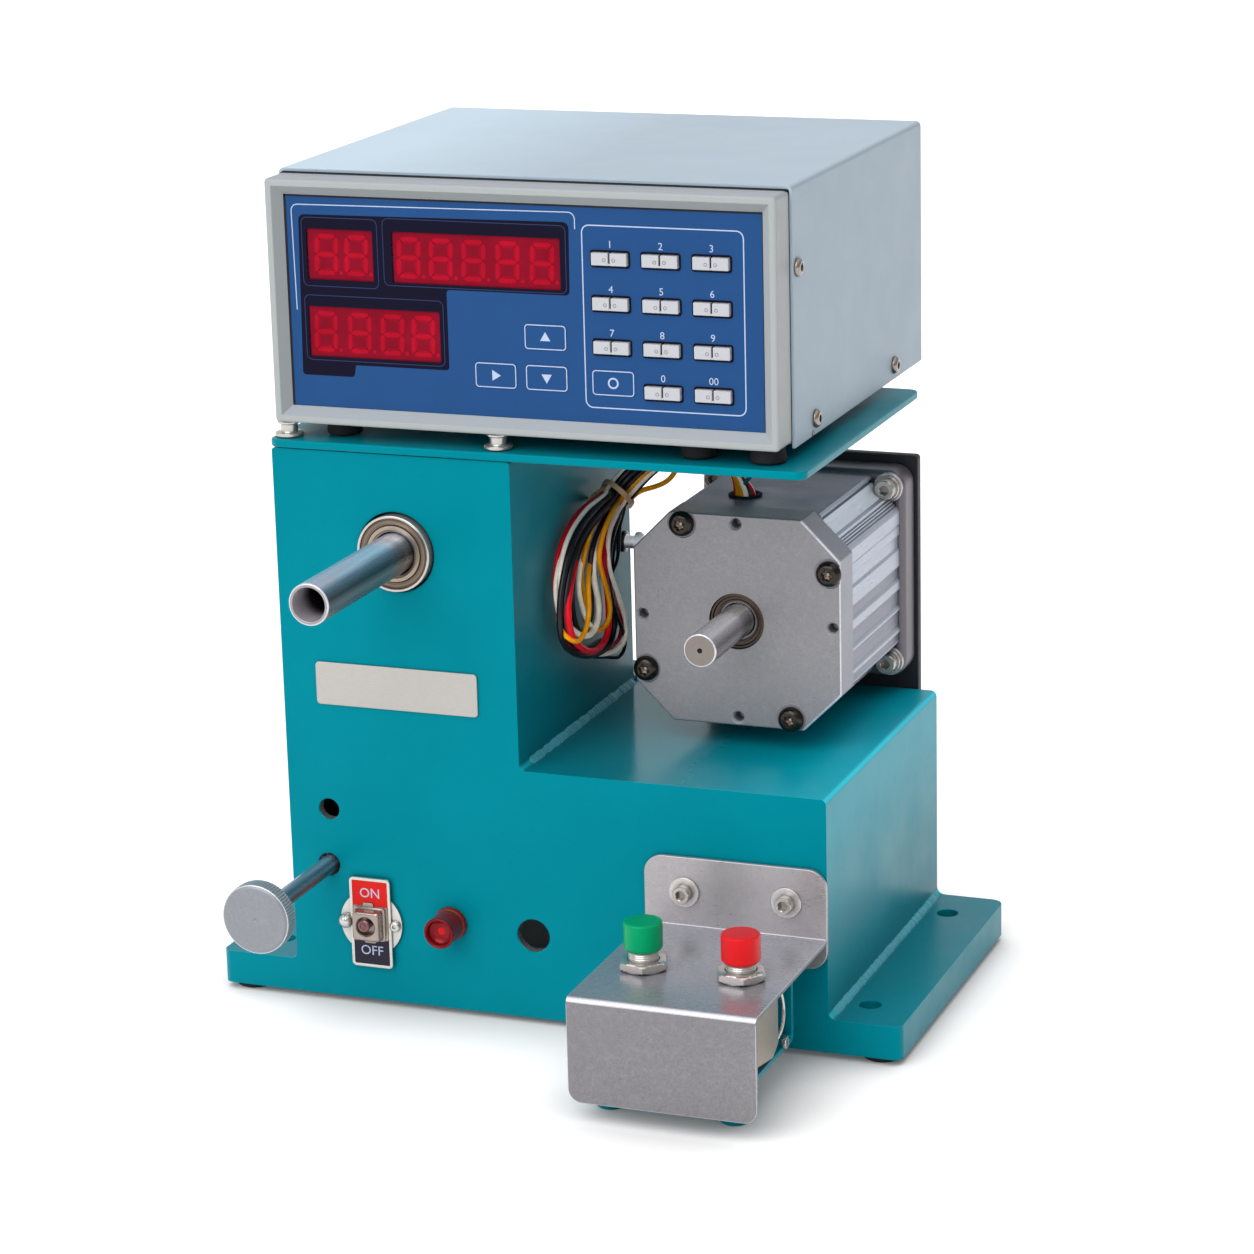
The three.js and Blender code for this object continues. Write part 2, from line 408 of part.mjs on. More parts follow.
// ---- motor lead: the run from the motor to the tie, and the hank that hangs from it
{
  const outline = [[88, 191], [80, 189.5], [70, 185.5], [55.2, 181], [44.9, 174.8], [38.7, 165.9], [36, 156.6], [36.8, 144.7], [39.5, 135.6],
    [48, 129], [57.6, 124], [67, 120.5], [75, 121.5], [78, 130], [74, 138], [69, 146], [68, 155.4], [68, 164.6], [71, 169.5], [79, 175.5],
    [86, 180.5], [93, 186], [93, 190]];
  piece(machine, "wire_hank", alongX(outline, TX1 + GAP + 0.7, 3.5), LOOM);
  const path = new THREE.CatmullRomCurve3([[49.2, 81.7, 186.2], [48.6, 82, 192], [44, 82.5, 198.5], [34, 83, 202], [22, 84, 202.6], [11, 85.5, 200.5],
    [3.2, 87.6, 199], [1.5, 88, 195.4]].map((p) => new THREE.Vector3(...p)));
  const section = shapeOf(circle(0, 0, 4.2, 8));
  piece(machine, "motor_lead", solid(new THREE.ExtrudeGeometry(section, { steps: 12, extrudePath: path, bevelEnabled: false })), LOOM);
}

export default machine;
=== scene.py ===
import bpy, bmesh, math, random
from mathutils import Vector, Matrix

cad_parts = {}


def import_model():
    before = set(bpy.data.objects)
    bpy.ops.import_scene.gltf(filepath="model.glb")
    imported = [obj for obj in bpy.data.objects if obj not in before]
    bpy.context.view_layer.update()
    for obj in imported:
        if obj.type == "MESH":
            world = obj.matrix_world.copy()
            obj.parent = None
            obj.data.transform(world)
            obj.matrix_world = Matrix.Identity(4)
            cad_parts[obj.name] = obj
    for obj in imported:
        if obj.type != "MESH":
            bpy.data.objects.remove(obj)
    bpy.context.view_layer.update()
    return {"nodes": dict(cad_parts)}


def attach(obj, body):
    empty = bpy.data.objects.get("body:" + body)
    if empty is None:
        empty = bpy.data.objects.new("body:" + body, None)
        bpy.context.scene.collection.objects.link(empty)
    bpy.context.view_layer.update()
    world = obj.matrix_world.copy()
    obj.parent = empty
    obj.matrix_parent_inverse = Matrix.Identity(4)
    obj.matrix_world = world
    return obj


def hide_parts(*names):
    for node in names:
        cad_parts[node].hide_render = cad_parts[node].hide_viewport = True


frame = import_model()
NODES = frame["nodes"]

# Building coordinates are millimetres with y = 0 on the housing's front face; the frame's origin is
# the centre of the footprint on the floor.
MM = 0.001
OFF = Vector((0.0, -44.8, -2.6))
TAU = 2 * math.pi


def W(x, y, z):
    return (Vector((x, y, z)) + OFF) * MM


# ================================================================ camera
AZ, EL, ROLL = math.radians(21.155456), math.radians(15.806172), math.radians(-1.458150)
back = Vector((math.sin(AZ) * math.cos(EL), -math.cos(AZ) * math.cos(EL), math.sin(EL)))
right = Vector((math.cos(AZ), math.sin(AZ), 0.0))
up = back.cross(right)
r2 = right * math.cos(ROLL) + up * math.sin(ROLL)
u2 = -right * math.sin(ROLL) + up * math.cos(ROLL)
cam_data = bpy.data.cameras.new("camera")
cam = bpy.data.objects.new("camera", cam_data)
bpy.context.scene.collection.objects.link(cam)
cam.matrix_world = Matrix.Translation(W(494.871, -1193.009, 517.968)) @ Matrix((r2, u2, back)).transposed().to_4x4()
cam_data.sensor_fit = "HORIZONTAL"
cam_data.sensor_width = 36.0
cam_data.lens = 3806.832851 / 1254 * 36.0
cam_data.clip_end = 60
bpy.context.scene.camera = cam


# ================================================================ materials
def lin(r, g, b):
    def f(c):
        c /= 255.0
        return c / 12.92 if c <= 0.04045 else ((c + 0.055) / 1.055) ** 2.4
    return (f(r), f(g), f(b), 1.0)


class Mat:
    """A small builder for node materials. Textures run on Object coordinates, which are metres."""

    def __init__(self, name, color, rough=0.5, metal=0.0):
        self.m = bpy.data.materials.new(name)
        self.m.use_nodes = True
        self.nt = self.m.node_tree
        self.nt.nodes.clear()
        self.out = self.node("ShaderNodeOutputMaterial")
        self.b = self.node("ShaderNodeBsdfPrincipled")
        self.link(self.b.outputs[0], self.out.inputs[0])
        self.tc = self.node("ShaderNodeTexCoord")
        self.color = color
        self.b.inputs["Base Color"].default_value = color
        self.b.inputs["Roughness"].default_value = rough
        self.b.inputs["Metallic"].default_value = metal
        self.m.diffuse_color = color

    def node(self, kind):
        return self.nt.nodes.new(kind)

    def link(self, a, b):
        self.nt.links.new(a, b)

    def vec(self, scale=(1, 1, 1), loc=(0, 0, 0), rot=(0, 0, 0)):
        n = self.node("ShaderNodeMapping")
        n.inputs["Scale"].default_value = scale
        n.inputs["Location"].default_value = loc
        n.inputs["Rotation"].default_value = rot
        self.link(self.tc.outputs["Object"], n.inputs["Vector"])
        return n.outputs[0]

    def noise(self, scale, detail=3.0, rough=0.5, vec=None, distort=0.0):
        n = self.node("ShaderNodeTexNoise")
        n.inputs["Scale"].default_value = scale
        n.inputs["Detail"].default_value = detail
        n.inputs["Roughness"].default_value = rough
        n.inputs["Distortion"].default_value = distort
        self.link(vec if vec is not None else self.vec(), n.inputs["Vector"])
        return n.outputs["Fac"]

    def voronoi(self, scale, vec=None, feature="F1"):
        n = self.node("ShaderNodeTexVoronoi")
        n.feature = feature
        n.inputs["Scale"].default_value = scale
        self.link(vec if vec is not None else self.vec(), n.inputs["Vector"])
        return n.outputs["Distance"]

    def remap(self, fac, a0, a1, b0, b1):
        n = self.node("ShaderNodeMapRange")
        n.inputs["From Min"].default_value = a0
        n.inputs["From Max"].default_value = a1
        n.inputs["To Min"].default_value = b0
        n.inputs["To Max"].default_value = b1
        self.link(fac, n.inputs["Value"])
        return n.outputs[0]

    def math(self, op, a, b):
        n = self.node("ShaderNodeMath")
        n.operation = op
        for i, v in enumerate((a, b)):
            if isinstance(v, (int, float)):
                n.inputs[i].default_value = v
            else:
                self.link(v, n.inputs[i])
        return n.outputs[0]

    def mix(self, fac, a, b, blend="MIX"):
        n = self.node("ShaderNodeMix")
        n.data_type = "RGBA"
        n.blend_type = blend
        n.clamp_factor = True
        for sock, v in ((n.inputs[6], a), (n.inputs[7], b)):
            if isinstance(v, tuple):
                sock.default_value = v
            else:
                self.link(v, sock)
        if isinstance(fac, (int, float)):
            n.inputs[0].default_value = fac
        else:
            self.link(fac, n.inputs[0])
        return n.outputs[2]

    def vary(self, fac, dark, light, base=None):
        """The base colour between dark and light multiples of itself."""
        c = base or self.color
        return self.mix(fac, tuple(min(1, v * dark) for v in c[:3]) + (1,), tuple(min(1, v * light) for v in c[:3]) + (1,))

    def set_color(self, sock):
        self.link(sock, self.b.inputs["Base Color"])
        return sock

    def set_rough(self, fac, lo, hi, a0=0.25, a1=0.75):
        self.link(self.remap(fac, a0, a1, lo, hi), self.b.inputs["Roughness"])

    def bump(self, height, strength=0.2, dist=0.0002, prev=None):
        n = self.node("ShaderNodeBump")
        n.inputs["Strength"].default_value = strength
        n.inputs["Distance"].default_value = dist
        self.link(height, n.inputs["Height"])
        if prev is not None:
            self.link(prev, n.inputs["Normal"])
        self.link(n.outputs[0], self.b.inputs["Normal"])
        return n.outputs[0]

    def crevice(self, base, dark, dist=0.004, amount=0.8):
        """Dirt and shade settled in corners."""
        ao = self.node("ShaderNodeAmbientOcclusion")
        ao.samples = 6
        ao.inputs["Distance"].default_value = dist
        f = self.remap(ao.outputs["AO"], 0.35, 0.95, amount, 0.0)
        return self.mix(f, base, dark)

    def set(self, **kw):
        for k, v in kw.items():
            self.b.inputs[k.replace("_", " ")].default_value = v
        return self


def tinted(m, level=0.5, white=0.0):
    """The mirror part of an enamel takes the enamel's own hue when seen square on, and goes white at a graze."""
    k = max(m.color[:3])
    m.b.inputs["Specular Tint"].default_value = tuple(c / k * (1 - white) + white for c in m.color[:3]) + (1,)
    m.b.inputs["Specular IOR Level"].default_value = level


def paint(name, rgb, rough=0.34, var=0.05, peel=0.10, peel_scale=900, edge=None, coat=0.0, blotch=22, level=0.32):
    """Sprayed enamel or powder coat: orange peel, faint cloudiness, rubbed gloss and a few specks."""
    m = Mat(name, lin(*rgb), rough)
    big = m.noise(blotch, 3, 0.6)
    col = m.vary(m.remap(big, 0.3, 0.7, 0, 1), 1 - var, 1 + var)
    speck = m.remap(m.noise(520, 2, 0.5), 0.70, 0.76, 0, 0.25)
    col = m.mix(speck, col, tuple(min(1, v * 0.55) for v in m.color[:3]) + (1,))
    # painted shade: the corners that the AO node finds are darkened, standing for dirt together with shade
    if edge:
        col = m.crevice(col, tuple(v * 0.45 for v in m.color[:3]) + (1,), 0.003, 0.5)
    m.set_color(col)
    m.set_rough(m.noise(45, 4, 0.6), rough - 0.05, rough + 0.08)
    n1 = m.bump(m.noise(peel_scale, 2, 0.5), peel, 0.0003)
    m.bump(m.noise(60, 2, 0.5), 0.06, 0.0012, n1)
    tinted(m, level)
    if coat:
        m.set(Coat_Weight=coat, Coat_Roughness=0.18)
    return m.m


def plastic(name, rgb, rough=0.4, var=0.04, grain=0.06, grain_scale=1800, coat=0.0, sss=0.0, transmission=0.0, level=0.35):
    m = Mat(name, lin(*rgb), rough)
    col = m.vary(m.noise(60, 3, 0.6), 1 - var, 1 + var)
    col = m.mix(m.remap(m.noise(900, 2, 0.5), 0.68, 0.75, 0, 0.2), col, tuple(v * 0.6 for v in m.color[:3]) + (1,))
    m.set_color(col)
    m.set_rough(m.noise(140, 4, 0.6), max(0.04, rough - 0.06), rough + 0.07)
    m.bump(m.noise(grain_scale, 2, 0.6), grain, 0.0002)
    tinted(m, level, 0.1)
    if coat:
        m.set(Coat_Weight=coat)
    if sss:
        m.set(Subsurface_Weight=sss, Subsurface_Scale=0.002, Subsurface_Radius=(1.0, 0.6, 0.5))
    if transmission:
        m.set(Transmission_Weight=transmission)
    return m.m


def metal(name, rgb, rough=0.3, var=0.08, stretch=None, fine=0.10, blotch=40, specks=0.0, scale=900, dirt_and_shade=0.0, dark=0.5, tint=None, metallic=0.75, grain=0.0):
    """Bare metal. stretch gives the brushed direction as scales along x, y and z."""
    m = Mat(name, lin(*rgb), rough, metallic)
    big = m.noise(blotch, 4, 0.65)
    col = m.vary(m.remap(big, 0.3, 0.7, 0, 1), 1 - var, 1 + var)
    if tint:
        col = m.mix(m.remap(m.noise(30, 3, 0.5, m.vec(loc=(1, 2, 3))), 0.42, 0.68, 0, 0.6), col, lin(*tint))
    v = m.vec(stretch) if stretch else m.vec()
    streak = m.noise(scale, 4, 0.6, v)
    col = m.mix(m.remap(streak, 0.35, 0.65, 0, 0.22), col, tuple(c * 0.72 for c in m.color[:3]) + (1,))
    if grain:
        g = m.remap(m.noise(1100, 5, 0.75), 0.35, 0.65, 0, 1)
        col = m.mix(g, col, tuple(min(1, c * (1 - grain)) for c in m.color[:3]) + (1,))
        g2 = m.remap(m.noise(330, 4, 0.7, m.vec(loc=(3, 1, 2))), 0.52, 0.72, 0, grain)
        col = m.mix(g2, col, tuple(min(1, c * 1.5) for c in m.color[:3]) + (1,))
    if specks:
        col = m.mix(m.remap(m.noise(900, 1, 0.5, m.vec(loc=(5, 5, 5))), 0.74 - 0.03 * specks, 0.80 - 0.03 * specks, 0, 0.5), col, tuple(c * 0.4 for c in m.color[:3]) + (1,))
    # dirt together with painted shade: corners that the AO node finds are darkened
    if dirt_and_shade:
        col = m.crevice(col, tuple(c * 0.2 for c in m.color[:3]) + (1,), 0.0025, dirt_and_shade)
    m.set_color(col)
    m.set_rough(m.math("ADD", m.math("MULTIPLY", big, 0.5), m.math("MULTIPLY", streak, 0.5)), rough - 0.07, rough + 0.10, 0.35, 0.65)
    m.bump(streak, fine, 0.00015)
    return m.m


def turned_metal(name, rgb, centre, axis, rough=0.28, pitch=2600, fine=0.12, var=0.06):
    """Lathe-turned metal: fine rings about its axis."""
    m = Mat(name, lin(*rgb), rough, 0.75)
    c = W(*centre)
    sub = m.node("ShaderNodeVectorMath")
    sub.operation = "SUBTRACT"
    m.link(m.tc.outputs["Object"], sub.inputs[0])
    sub.inputs[1].default_value = c
    mul = m.node("ShaderNodeVectorMath")
    mul.operation = "MULTIPLY"
    m.link(sub.outputs[0], mul.inputs[0])
    mul.inputs[1].default_value = {"y": (1, 0, 1), "z": (1, 1, 0)}[axis]
    ln = m.node("ShaderNodeVectorMath")
    ln.operation = "LENGTH"
    m.link(mul.outputs[0], ln.inputs[0])
    sep = m.node("ShaderNodeSeparateXYZ")
    m.link(sub.outputs[0], sep.inputs[0])
    along = sep.outputs[{"y": 1, "z": 2}[axis]]
    w = m.math("ADD", m.math("MULTIPLY", ln.outputs[1] if ln.outputs[0].type == "VECTOR" else ln.outputs[0], 1.0), m.math("MULTIPLY", along, 0.8))
    n = m.node("ShaderNodeTexNoise")
    n.noise_dimensions = "1D"
    n.inputs["Scale"].default_value = pitch
    n.inputs["Detail"].default_value = 3
    m.link(w, n.inputs["W"])
    rings = n.outputs["Fac"]
    col = m.vary(m.remap(m.noise(70, 3, 0.6), 0.3, 0.7, 0, 1), 1 - var, 1 + var)
    col = m.mix(m.remap(rings, 0.35, 0.7, 0, 0.35), col, tuple(v * 0.7 for v in m.color[:3]) + (1,))
    m.set_color(col)
    m.set_rough(rings, rough - 0.05, rough + 0.08)
    m.bump(rings, fine, 0.00012)
    return m.m


def painted_light_bands(name, centre, radius, stops, rough=0.26, metallic=0.6, lean=(-0.617, 0.787)):
    """Ground bar stock, with painted highlight and shade as bands running its whole length: lighter on the side that
    lean points to and darker on the far side. The stops are (place across, colour).
    """
    m = Mat(name, lin(*stops[0][1]), rough, metallic)
    c = W(centre[0], 0, centre[1])
    sep_ = m.node("ShaderNodeSeparateXYZ")
    m.link(m.tc.outputs["Object"], sep_.inputs[0])
    a = m.math("MULTIPLY", m.math("SUBTRACT", sep_.outputs[0], c.x), lean[0] / (radius * MM))
    b = m.math("MULTIPLY", m.math("SUBTRACT", sep_.outputs[2], c.z), lean[1] / (radius * MM))
    wob = m.math("MULTIPLY", m.math("SUBTRACT", m.noise(120, 3, 0.6, m.vec((1, 0.06, 1))), 0.5), 0.22)
    u = m.math("ADD", m.math("MULTIPLY", m.math("ADD", a, b), -0.5), m.math("ADD", wob, 0.5))
    r_ = m.node("ShaderNodeValToRGB")
    m.link(u, r_.inputs[0])
    el = r_.color_ramp.elements
    while len(el) < len(stops):
        el.new(0.5)
    for e_, (t_, rgb_) in zip(el, stops):
        e_.position = t_
        e_.color = lin(*rgb_)
    fine_ = m.noise(420, 3, 0.6, m.vec((1, 0.03, 1)))
    m.set_color(m.mix(m.remap(fine_, 0.4, 0.7, 0, 0.22), r_.outputs[0], (0.16, 0.17, 0.19, 1)))
    m.set_rough(fine_, rough - 0.04, rough + 0.08)
    m.bump(m.noise(900, 2, 0.5, m.vec((1, 0.03, 1))), 0.006, 0.0001)
    return m.m


M_TEAL = paint("teal_enamel", (0, 118, 132), 0.33, 0.045, 0.10, 1000, edge=True)


def over_base(mat):
    """The sockets of a finished material: where its base colour comes from, its place and the way its surface faces."""
    nt = mat.node_tree
    b = nt.nodes["Principled BSDF"]
    col = b.inputs["Base Color"].links[0].from_socket
    tc = nt.nodes.new("ShaderNodeTexCoord")
    pos = nt.nodes.new("ShaderNodeSeparateXYZ")
    nt.links.new(tc.outputs["Object"], pos.inputs[0])
    geo = nt.nodes.new("ShaderNodeNewGeometry")
    nor = nt.nodes.new("ShaderNodeSeparateXYZ")
    nt.links.new(geo.outputs["Normal"], nor.inputs[0])

    def span(sock, a0, a1, b0, b1):
        n = nt.nodes.new("ShaderNodeMapRange")
        for key, v in (("From Min", a0), ("From Max", a1), ("To Min", b0), ("To Max", b1)):
            n.inputs[key].default_value = v
        nt.links.new(sock, n.inputs["Value"])
        return n.outputs[0]

    def op(kind, p, q):
        n = nt.nodes.new("ShaderNodeMath")
        n.operation = kind
        for i, v in enumerate((p, q)):
            if isinstance(v, (int, float)):
                n.inputs[i].default_value = v
            else:
                nt.links.new(v, n.inputs[i])
        return n.outputs[0]

    def scaled(fac):
        n = nt.nodes.new("ShaderNodeVectorMath")
        n.operation = "SCALE"
        nt.links.new(col, n.inputs[0])
        nt.links.new(fac, n.inputs["Scale"])
        nt.links.new(n.outputs[0], b.inputs["Base Color"])

    return nt, b, pos.outputs, nor.outputs, span, op, scaled


# painted light on the housing's enamel: the step's top and its right-facing sides are lightened towards the east end
# (the sides only above their lowest part), and the slanted bevel faces below the tower top get a painted highlight
# line; the step's top is also made glossier away from the east end
nt_, b_, P_, N_, span_, op_, scaled_ = over_base(M_TEAL)
top_ = op_("MULTIPLY", op_("MULTIPLY", span_(N_[2], 0.5, 0.8, 0, 1), span_(P_[2], 0.075, 0.092, 0, 1)), span_(P_[2], 0.110, 0.125, 1, 0))
side_ = op_("MULTIPLY", op_("MULTIPLY", span_(N_[0], 0.5, 0.8, 0, 1), span_(P_[2], 0.045, 0.085, 0, 1)), span_(P_[2], 0.203, 0.207, 1, 0))
east_ = span_(P_[0], 0.035, 0.105, 0, 1)
edge_highlight_ = op_("MULTIPLY", op_("MULTIPLY", span_(N_[2], 0.25, 0.45, 0, 1), span_(N_[2], 0.80, 0.95, 1, 0)), span_(P_[2], 0.150, 0.170, 1, 0))
scaled_(op_("ADD", op_("ADD", 1.0, op_("MULTIPLY", edge_highlight_, 1.3)), op_("MULTIPLY", east_, op_("ADD", op_("MULTIPLY", top_, 1.0), op_("MULTIPLY", side_, 0.55)))))
right_ = op_("MULTIPLY", top_, span_(P_[0], 0.030, 0.060, 0, 1))
nt_.links.new(op_("MULTIPLY", b_.inputs["Roughness"].links[0].from_socket, op_("SUBTRACT", 1.0, op_("MULTIPLY", op_("SUBTRACT", top_, right_), 0.62))), b_.inputs["Roughness"])
# the welds carry the same teal paint; their lighter colour is a painted highlight
M_TEAL_WELD = paint("teal_weld", (70, 158, 174), 0.28, 0.16, 0.35, 1500)
M_COVER = paint("cover_powder_coat", (163, 179, 191), 0.42, 0.02, 0.16, 1500, level=0.45)
# painted light on the cover: its top is lightened towards the left end and its right-facing side is darkened
nt_, b_, P_, N_, span_, op_, scaled_ = over_base(M_COVER)
scaled_(op_("ADD", op_("ADD", 1.0, op_("MULTIPLY", span_(N_[2], 0.5, 0.8, 0, 1), span_(P_[0], -0.075, 0.0, 0.36, 0.0))), span_(N_[0], 0.5, 0.8, 0, -0.18)))
# copies of the bezel plastic picked by how each face is turned, a slightly bluer one for faces turned up and a darker
# one for the inner faces turned down or to the right: painted light and shade
M_BEZEL = plastic("bezel_plastic", (153, 157, 157), 0.40, 0.02, 0.10, 2200)
M_BEZEL_TOP = plastic("bezel_plastic_up", (150, 155, 160), 0.36, 0.02, 0.10, 2200)
M_BEZEL_SHADED = plastic("bezel_plastic_shaded", (140, 145, 146), 0.42, 0.03, 0.10, 2200)
M_PANEL = plastic("panel_film", (31, 67, 113), 0.36, 0.07, 0.14, 2600)
# the navy print also serves for the painted shade rings round the keys
M_NAVY_PRINT_AND_SHADE = plastic("navy_print_and_key_shade", (14, 13, 26), 0.34, 0.06, 0.10, 2600, level=0.12)
M_LINE_DIM = plastic("dim_print", (44, 52, 86), 0.40, 0.06, 0.05, 2600, level=0.12)
M_PRINT = plastic("white_print", (168, 180, 206), 0.45, 0.05, 0.05, 2600)
M_KEY = plastic("key_plastic", (174, 176, 180), 0.36, 0.03, 0.10, 2400)
M_KEY_MARK = plastic("key_mark", (110, 112, 118), 0.5, 0.05, 0.05, 2400)
M_RUBBER = plastic("rubber_black", (20, 20, 21), 0.78, 0.15, 0.25, 1500)
M_BLACKP = plastic("black_plastic", (24, 24, 26), 0.5, 0.1, 0.12, 1500)
M_BLACK_STEEL = metal("black_steel", (26, 27, 34), 0.50, 0.15, None, 0.10, 40, 0.2, metallic=0.3)
M_OXIDE = metal("black_oxide", (56, 50, 47), 0.20, 0.06, None, 0.01, 200, 0.0, 5000, metallic=0.9)
M_SOCKET = metal("socket_steel", (92, 78, 68), 0.22, 0.10, None, 0.01, 200, 0.0, 5000, metallic=0.85)
# the spindle and the push rod take painted highlight and shade bands across them
M_SPINDLE = painted_light_bands("ground_steel", (-54.3, 176.6), 7.5, [(0.0, (190, 194, 208)), (0.14, (226, 228, 244)), (0.34, (232, 238, 252)), (0.48, (134, 146, 162)), (0.60, (104, 110, 118)), (0.72, (56, 64, 70)), (0.86, (150, 142, 140)), (1.0, (96, 92, 92))])
M_ROD = painted_light_bands("rod_steel", (-86.4, 56.0), 3.3, [(0.0, (120, 132, 148)), (0.22, (168, 180, 194)), (0.45, (108, 118, 128)), (0.62, (150, 158, 168)), (0.80, (72, 76, 84)), (1.0, (110, 104, 104))], metallic=0.7)
M_BORE = metal("bore_steel", (196, 190, 198), 0.32, 0.06, (1, 0.05, 1), 0.01, 60, 0.0, 700, metallic=0.35)
# painted shade: the bore darkens with depth from its open front end
nt_, b_, P_, N_, span_, op_, scaled_ = over_base(M_BORE)
scaled_(span_(P_[1], -0.1095, -0.1035, 1.0, 0.06))
M_RIM = metal("turned_rim", (150, 147, 148), 0.22, 0.04, None, 0.004, 200, 0.0, 5000, metallic=0.6)
M_RING = turned_metal("bearing_ring", (196, 190, 184), (-54.3, 0, 176.6), "y", 0.18, 3000)
M_INNER = turned_metal("bearing_inner", (160, 146, 132), (-54.3, 0, 176.6), "y", 0.28, 2600, 0.2, 0.16)
M_SHIELD = turned_metal("bearing_shield", (120, 105, 92), (-54.3, 0, 176.6), "y", 0.34, 1700, 0.3, 0.24)
M_SEAT = turned_metal("seat_ring", (72, 61, 52), (57.1, 0, 146.8), "y", 0.30, 1700, 0.3, 0.20)
M_FACE = metal("motor_face", (140, 138, 142), 0.44, 0.07, None, 0.22, 52, 0.35, 2200, metallic=0.5, grain=0.16)
M_BODY = metal("motor_body_metal", (168, 175, 190), 0.32, 0.05, (1, 0.03, 1), 0.10, 30, 0.0, 1600, 0.35, metallic=0.45)
M_BODY_LOW = metal("motor_body_groove", (122, 126, 140), 0.36, 0.07, (1, 0.03, 1), 0.10, 30, 0.2, 1600, 0.35, metallic=0.45)
M_BODY_FACET = metal("motor_body_facet", (232, 239, 250), 0.30, 0.03, (1, 0.03, 1), 0.02, 34, 0.0, 1600, 0.15, metallic=0.12)
M_FACE_SIDE = metal("motor_face_side", (140, 141, 151), 0.38, 0.06, None, 0.08, 46, 0.2, 2200, metallic=0.45, grain=0.08)
# bright copies of metal laid on edges, rims and bends that face the light: painted highlights
M_EDGE_HIGHLIGHT = metal("painted_edge_highlight", (206, 206, 214), 0.26, 0.08, None, 0.01, 120, 0.0, 5000, metallic=0.45)
M_SOFT_HIGHLIGHT = metal("painted_soft_highlight", (172, 171, 178), 0.28, 0.08, None, 0.01, 120, 0.0, 5000, metallic=0.5)
M_BODY_TOP = metal("motor_top_metal", (122, 122, 140), 0.40, 0.18, None, 0.12, 60, 0.2, 1600, metallic=0.4, grain=0.12)
M_FLANGE = metal("motor_flange_metal", (103, 99, 106), 0.36, 0.05, None, 0.06, 30, 0.1, 1600, metallic=0.5, grain=0.06)
M_POCKET = metal("motor_flange_pocket", (84, 80, 86), 0.40, 0.08, None, 0.10, 60, 0.3, 1600, metallic=0.5, grain=0.10)
M_STAINLESS = metal("stainless_sheet", (132, 130, 133), 0.33, 0.07, (0.25, 1, 1), 0.10, 52, 0.7, 1500, metallic=0.55, grain=0.24)
# lighter copies of the stainless for the shelf's top and the back plate: painted light
M_SHELF = metal("stainless_shelf", (166, 166, 174), 0.26, 0.09, (0.25, 1, 1), 0.05, 48, 0.3, 1500, metallic=0.55, grain=0.14)
M_BACKPLATE = metal("stainless_back", (170, 166, 168), 0.30, 0.08, (0.25, 1, 1), 0.06, 44, 0.35, 1500, metallic=0.5, grain=0.14)
M_NICKEL = metal("nickel", (202, 199, 194), 0.18, 0.05, None, 0.01, 160, 0.0, 5000, metallic=0.75, dirt_and_shade=0.6)
M_ZINC = metal("zinc_bolt", (186, 179, 172), 0.19, 0.04, None, 0.01, 160, 0.0, 5000, metallic=0.8, dirt_and_shade=0.7)
M_WASHER = metal("zinc_washer", (206, 201, 198), 0.24, 0.05, None, 0.01, 160, 0.0, 5000, metallic=0.6, dirt_and_shade=0.7)
M_NUT = metal("nut_steel", (208, 200, 194), 0.16, 0.05, None, 0.01, 160, 0.0, 5000, metallic=0.8, dirt_and_shade=0.7)
M_NECK = metal("neck_steel", (206, 204, 200), 0.22, 0.05, None, 0.01, 160, 0.0, 5000, metallic=0.6, dirt_and_shade=0.25)
M_SCREW = metal("cover_screw_steel", (158, 148, 140), 0.20, 0.05, None, 0.01, 160, 0.0, 5000, metallic=0.85, dirt_and_shade=0.5)
M_ALU = metal("aluminium_part", (160, 161, 163), 0.40, 0.05, None, 0.10, 60, 0.15, metallic=0.5)
M_PLATE = metal("plate_aluminium", (176, 173, 168), 0.40, 0.04, (0.2, 1, 1), 0.08, 40, 0.0, 1800, metallic=0.4)
M_KNOB = metal("knob_face", (138, 141, 147), 0.42, 0.06, None, 0.14, 70, 0.2, 2400, metallic=0.5, grain=0.14)
M_KNURL = metal("knob_knurl", (196, 199, 204), 0.28, 0.05, None, 0.01, 60, 0.0, 5000, metallic=0.35, dirt_and_shade=0.9)
# the motor shaft takes painted highlight and shade bands across it
M_SHAFT = painted_light_bands("shaft_steel", (57.1, 146.8), 6.1, [(0.0, (170, 166, 166)), (0.18, (236, 230, 230)), (0.36, (252, 249, 250)), (0.52, (196, 192, 198)), (0.70, (124, 120, 124)), (0.86, (176, 170, 172)), (1.0, (98, 94, 98))], rough=0.24, metallic=0.7)
M_SHAFT_END = turned_metal("shaft_end", (132, 124, 118), (57.1, 8, 146.8), "y", 0.40, 2400)
M_GREEN = plastic("cap_green_plastic", (0, 142, 92), 0.34, 0.04, 0.08, 1600, 0.0, 0.10, level=0.5)
M_RED = plastic("cap_red_plastic", (208, 30, 34), 0.34, 0.04, 0.08, 1600, 0.0, 0.10, level=0.5)
M_BEIGE = metal("beige_plate", (158, 142, 124), 0.34, 0.10, None, 0.10, 30, 0.0, metallic=0.4, tint=(140, 148, 156))
M_TIE = plastic("tie_nylon", (204, 162, 126), 0.34, 0.05, 0.05, 900, 0.0, 0.2)
M_PCB = plastic("board_green", (24, 92, 50), 0.45, 0.12, 0.15, 900)
